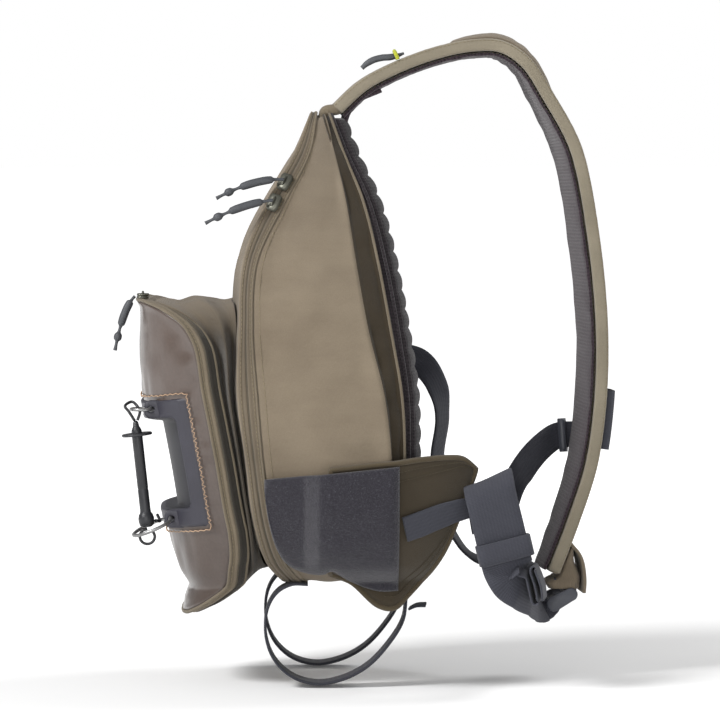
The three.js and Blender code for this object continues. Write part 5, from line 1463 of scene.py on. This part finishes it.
# Bottle cradle
CRADLE_ROWS = (  # degrees round the bottle and reach as a share of its radius
    (100, 1), (117, 1.09), (134, 1.13), (153, 1.1), (182, 1.03), (212, 1.02), (241, 1.03), (270, 1.05),
    (300, 1.1), (327, 1.25), (352, 1.5), (367.5, 1.76), (379, 1.91), (388, 2.06),
)
BOTTLE_X, BOTTLE_RADIUS, CRADLE_SPACING = -BODY_DEPTH * 0.575, 37.0, 124.0


def cradle_point(angle, reach):
    a = math.radians(angle)
    return (
        BOTTLE_X + BOTTLE_RADIUS * reach * math.cos(a),
        min(-BOTTLE_RADIUS + BOTTLE_RADIUS * reach * math.sin(a), -WEB / 2 - 0.3),
    )


for word, y in (("near", -CRADLE_SPACING / 2), ("far", CRADLE_SPACING / 2)):
    sections = []
    for angle, reach in CRADLE_ROWS:
        x, z = cradle_point(angle, reach)
        sections.append(((x, y, z), ACROSS, CRADLE))
    ribbon(f"cradle_web_{word}", sections, WEB, DARK_WEB, (f"cradle_strap_{word}",))
TAIL_ANGLE, TAIL_REACH = 379, 1.91
tail_x, _ = cradle_point(TAIL_ANGLE, TAIL_REACH)
tail_z = BOTTLE_RADIUS * (TAIL_REACH * math.sin(math.radians(TAIL_ANGLE)) - 1)
ribbon("cradle_tail_web", [
    ((tail_x + 2.6, -66, tail_z - 6), ACROSS, 12),
    ((tail_x + 8, -67, tail_z - 3.5), (0.1, 1, 0.1), 12),
    ((tail_x + 15, -68, tail_z - 3), (0.1, 1, 0.2), 9),
], 1.6, DARK_WEB, ("cradle_tail",))

# Sliders and pulls

SLIDER_OUTLINE = (
    (-3, -6.5), (3, -6.5), (4.3, -4), (4.6, 0), (4.6, 4.6), (3.4, 6.5), (-3.4, 6.5), (-4.6, 4.6),
    (-4.6, 0), (-4.3, -4),
)
SLIDER_LEVELS = (
    (0, 0.92), (0.4, 1), (1.7, 1), (1.9, 0.9), (2.2, 0.9), (2.4, 1), (3.4, 1), (3.9, 0.88),
)
BRIDGE = ((-3.6, 4.6), (-2.6, 5.6), (2.6, 5.6), (3.6, 4.6))


def slider(name, at, run, out, node):
    run, out = Vector(run).normalized(), Vector(out).normalized()
    side = run.cross(out)
    rows = [
        [at + side * (x * grow) + run * (y * grow) + out * (0.9 + lift) for x, y in SLIDER_OUTLINE]
        for lift, grow in SLIDER_LEVELS
    ]
    closed_piece(name, rows, GUNMETAL, (node,))
    tube(f"{name}_bridge", [at + run * a + out * b for a, b in BRIDGE], 0.9, GUNMETAL, steps=20)


def pull(name, start, bend, end, node):
    points = [start * (1 - t) ** 2 + bend * (2 * t * (1 - t)) + end * t * t for t in even(0, 1, 12)]
    tube(name, points, lambda t: 3.0 * lookup(PULL, 1, t), RUBBER, (node,), steps=90, sides=14)


def zip_frame(z):
    def place(height):
        width = body_half(height) * (PANEL_SHARE + ZIP_SHARE) / 2
        return Vector(((body_x(FRONT, height) + body_x(REAR, height)) / 2, -width, height))

    run = (place(z + 4) - place(z - 4)).normalized()
    out = Vector((1, -0.3, 0)).normalized().cross(run).normalized()
    if out.y > 0:
        out.negate()
    return place(z), run, out


for word, share, rise in (("upper", 0.849, 3), ("lower", 0.806, 0)):
    at, run, out = zip_frame(BODY_HEIGHT * share)
    slider(f"slider_{word}", at, run, out, f"main_slider_{word}")
    start = at + out * 6.5
    bend, end = start + Vector((-22, -6, rise - 2)), start + Vector((-50, -4, rise - 17))
    pull(f"pull_{word}", start, bend, end, f"main_pull_{word}")
slider_y, slider_top = -0.26 * POCKET_HALF, pocket_z(1)
slider_x = band_x(slider_top) - bow(slider_y) - POCKET_ZIP * 0.7
at = Vector((slider_x, slider_y, sunk(slider_y, slider_top) + 0.4))
slider("slider_pocket", at, ACROSS, (0, 0, 1), "pocket_slider")
start, bend, end = (at + Vector(offset) for offset in ((-6.1, 0, 2.6), (-15, -3, -6), (-21, -5, -38)))
pull("pull_pocket", start, bend, end, "pocket_pull")

# Floor, light and camera
FLOOR = -0.4704
bpy.ops.mesh.primitive_plane_add(size=60, location=(0, 0, FLOOR))
floor = bpy.context.object
floor.name = "studio_floor"
paper = Nodes("floor paper")
white = paper.ramp(paper.noise(3, 2.0), (0.3, (247, 247, 247)), (0.7, (250, 250, 250)))
away = paper.node("ShaderNodeVectorMath", {0: paper.coords["Object"]}, operation="LENGTH")["Value"]
floor.data.materials.append(paper.surface(
    white, 0.9, 0.5, emission_color=(1, 1, 1, 1), emission_strength=paper.fade(away, 0.5, 1.7, 0.05, 0.72),
))

# The world is brighter where the camera sees it than where it lights the object
world = bpy.data.worlds.new("studio")
bpy.context.scene.world = world
world.use_nodes = True
tree = world.node_tree
rays = tree.nodes.new("ShaderNodeLightPath").outputs["Is Camera Ray"]
glow = tree.nodes.new("ShaderNodeMapRange")
fill_inputs(tree, glow, {"Value": rays, "To Min": 0.36, "To Max": 1.0})
fill_inputs(tree, tree.nodes["Background"], {"Color": (1, 1, 1, 1), "Strength": glow.outputs["Result"]})

for name, place, target, size, watts in (
    ("key", (-2.3, -1.5, 2.0), (-0.1, 0, -0.2), 1.0, 105),
    ("fill", (-0.3, -3.0, 0.4), (0, 0, -0.2), 1.6, 22),
    ("rim", (1.3, 0.8, 1.4), (0, 0, -0.2), 0.9, 20),
):
    lamp = bpy.data.lights.new(name, "AREA")
    lamp.energy = watts
    lamp.size = size
    light = bpy.data.objects.new(name, lamp)
    light.location = place
    light.rotation_euler = (Vector(target) - Vector(place)).to_track_quat("-Z", "Y").to_euler()
    bpy.context.scene.collection.objects.link(light)

AZIMUTH, ELEVATION, DISTANCE = math.radians(-1.5), math.radians(3), 3.5
TARGET = metres((-20, 0, 170))
FRAME_WIDTH, SENSOR, PIXELS = 0.5472, 36, 720
back = Vector((
    math.sin(AZIMUTH) * math.cos(ELEVATION), -math.cos(AZIMUTH) * math.cos(ELEVATION), math.sin(ELEVATION),
))
lens = bpy.data.cameras.new("camera")
lens.sensor_width = SENSOR
lens.lens = SENSOR * DISTANCE / FRAME_WIDTH
lens.shift_x = -32 / PIXELS
lens.shift_y = -10 / PIXELS
lens.clip_end = 100
camera = bpy.data.objects.new("camera", lens)
camera.location = TARGET + back * DISTANCE
camera.rotation_euler = (-back).to_track_quat("-Z", "Y").to_euler()
bpy.context.scene.collection.objects.link(camera)
bpy.context.scene.camera = camera
bpy.context.scene.view_settings.view_transform = "Standard"
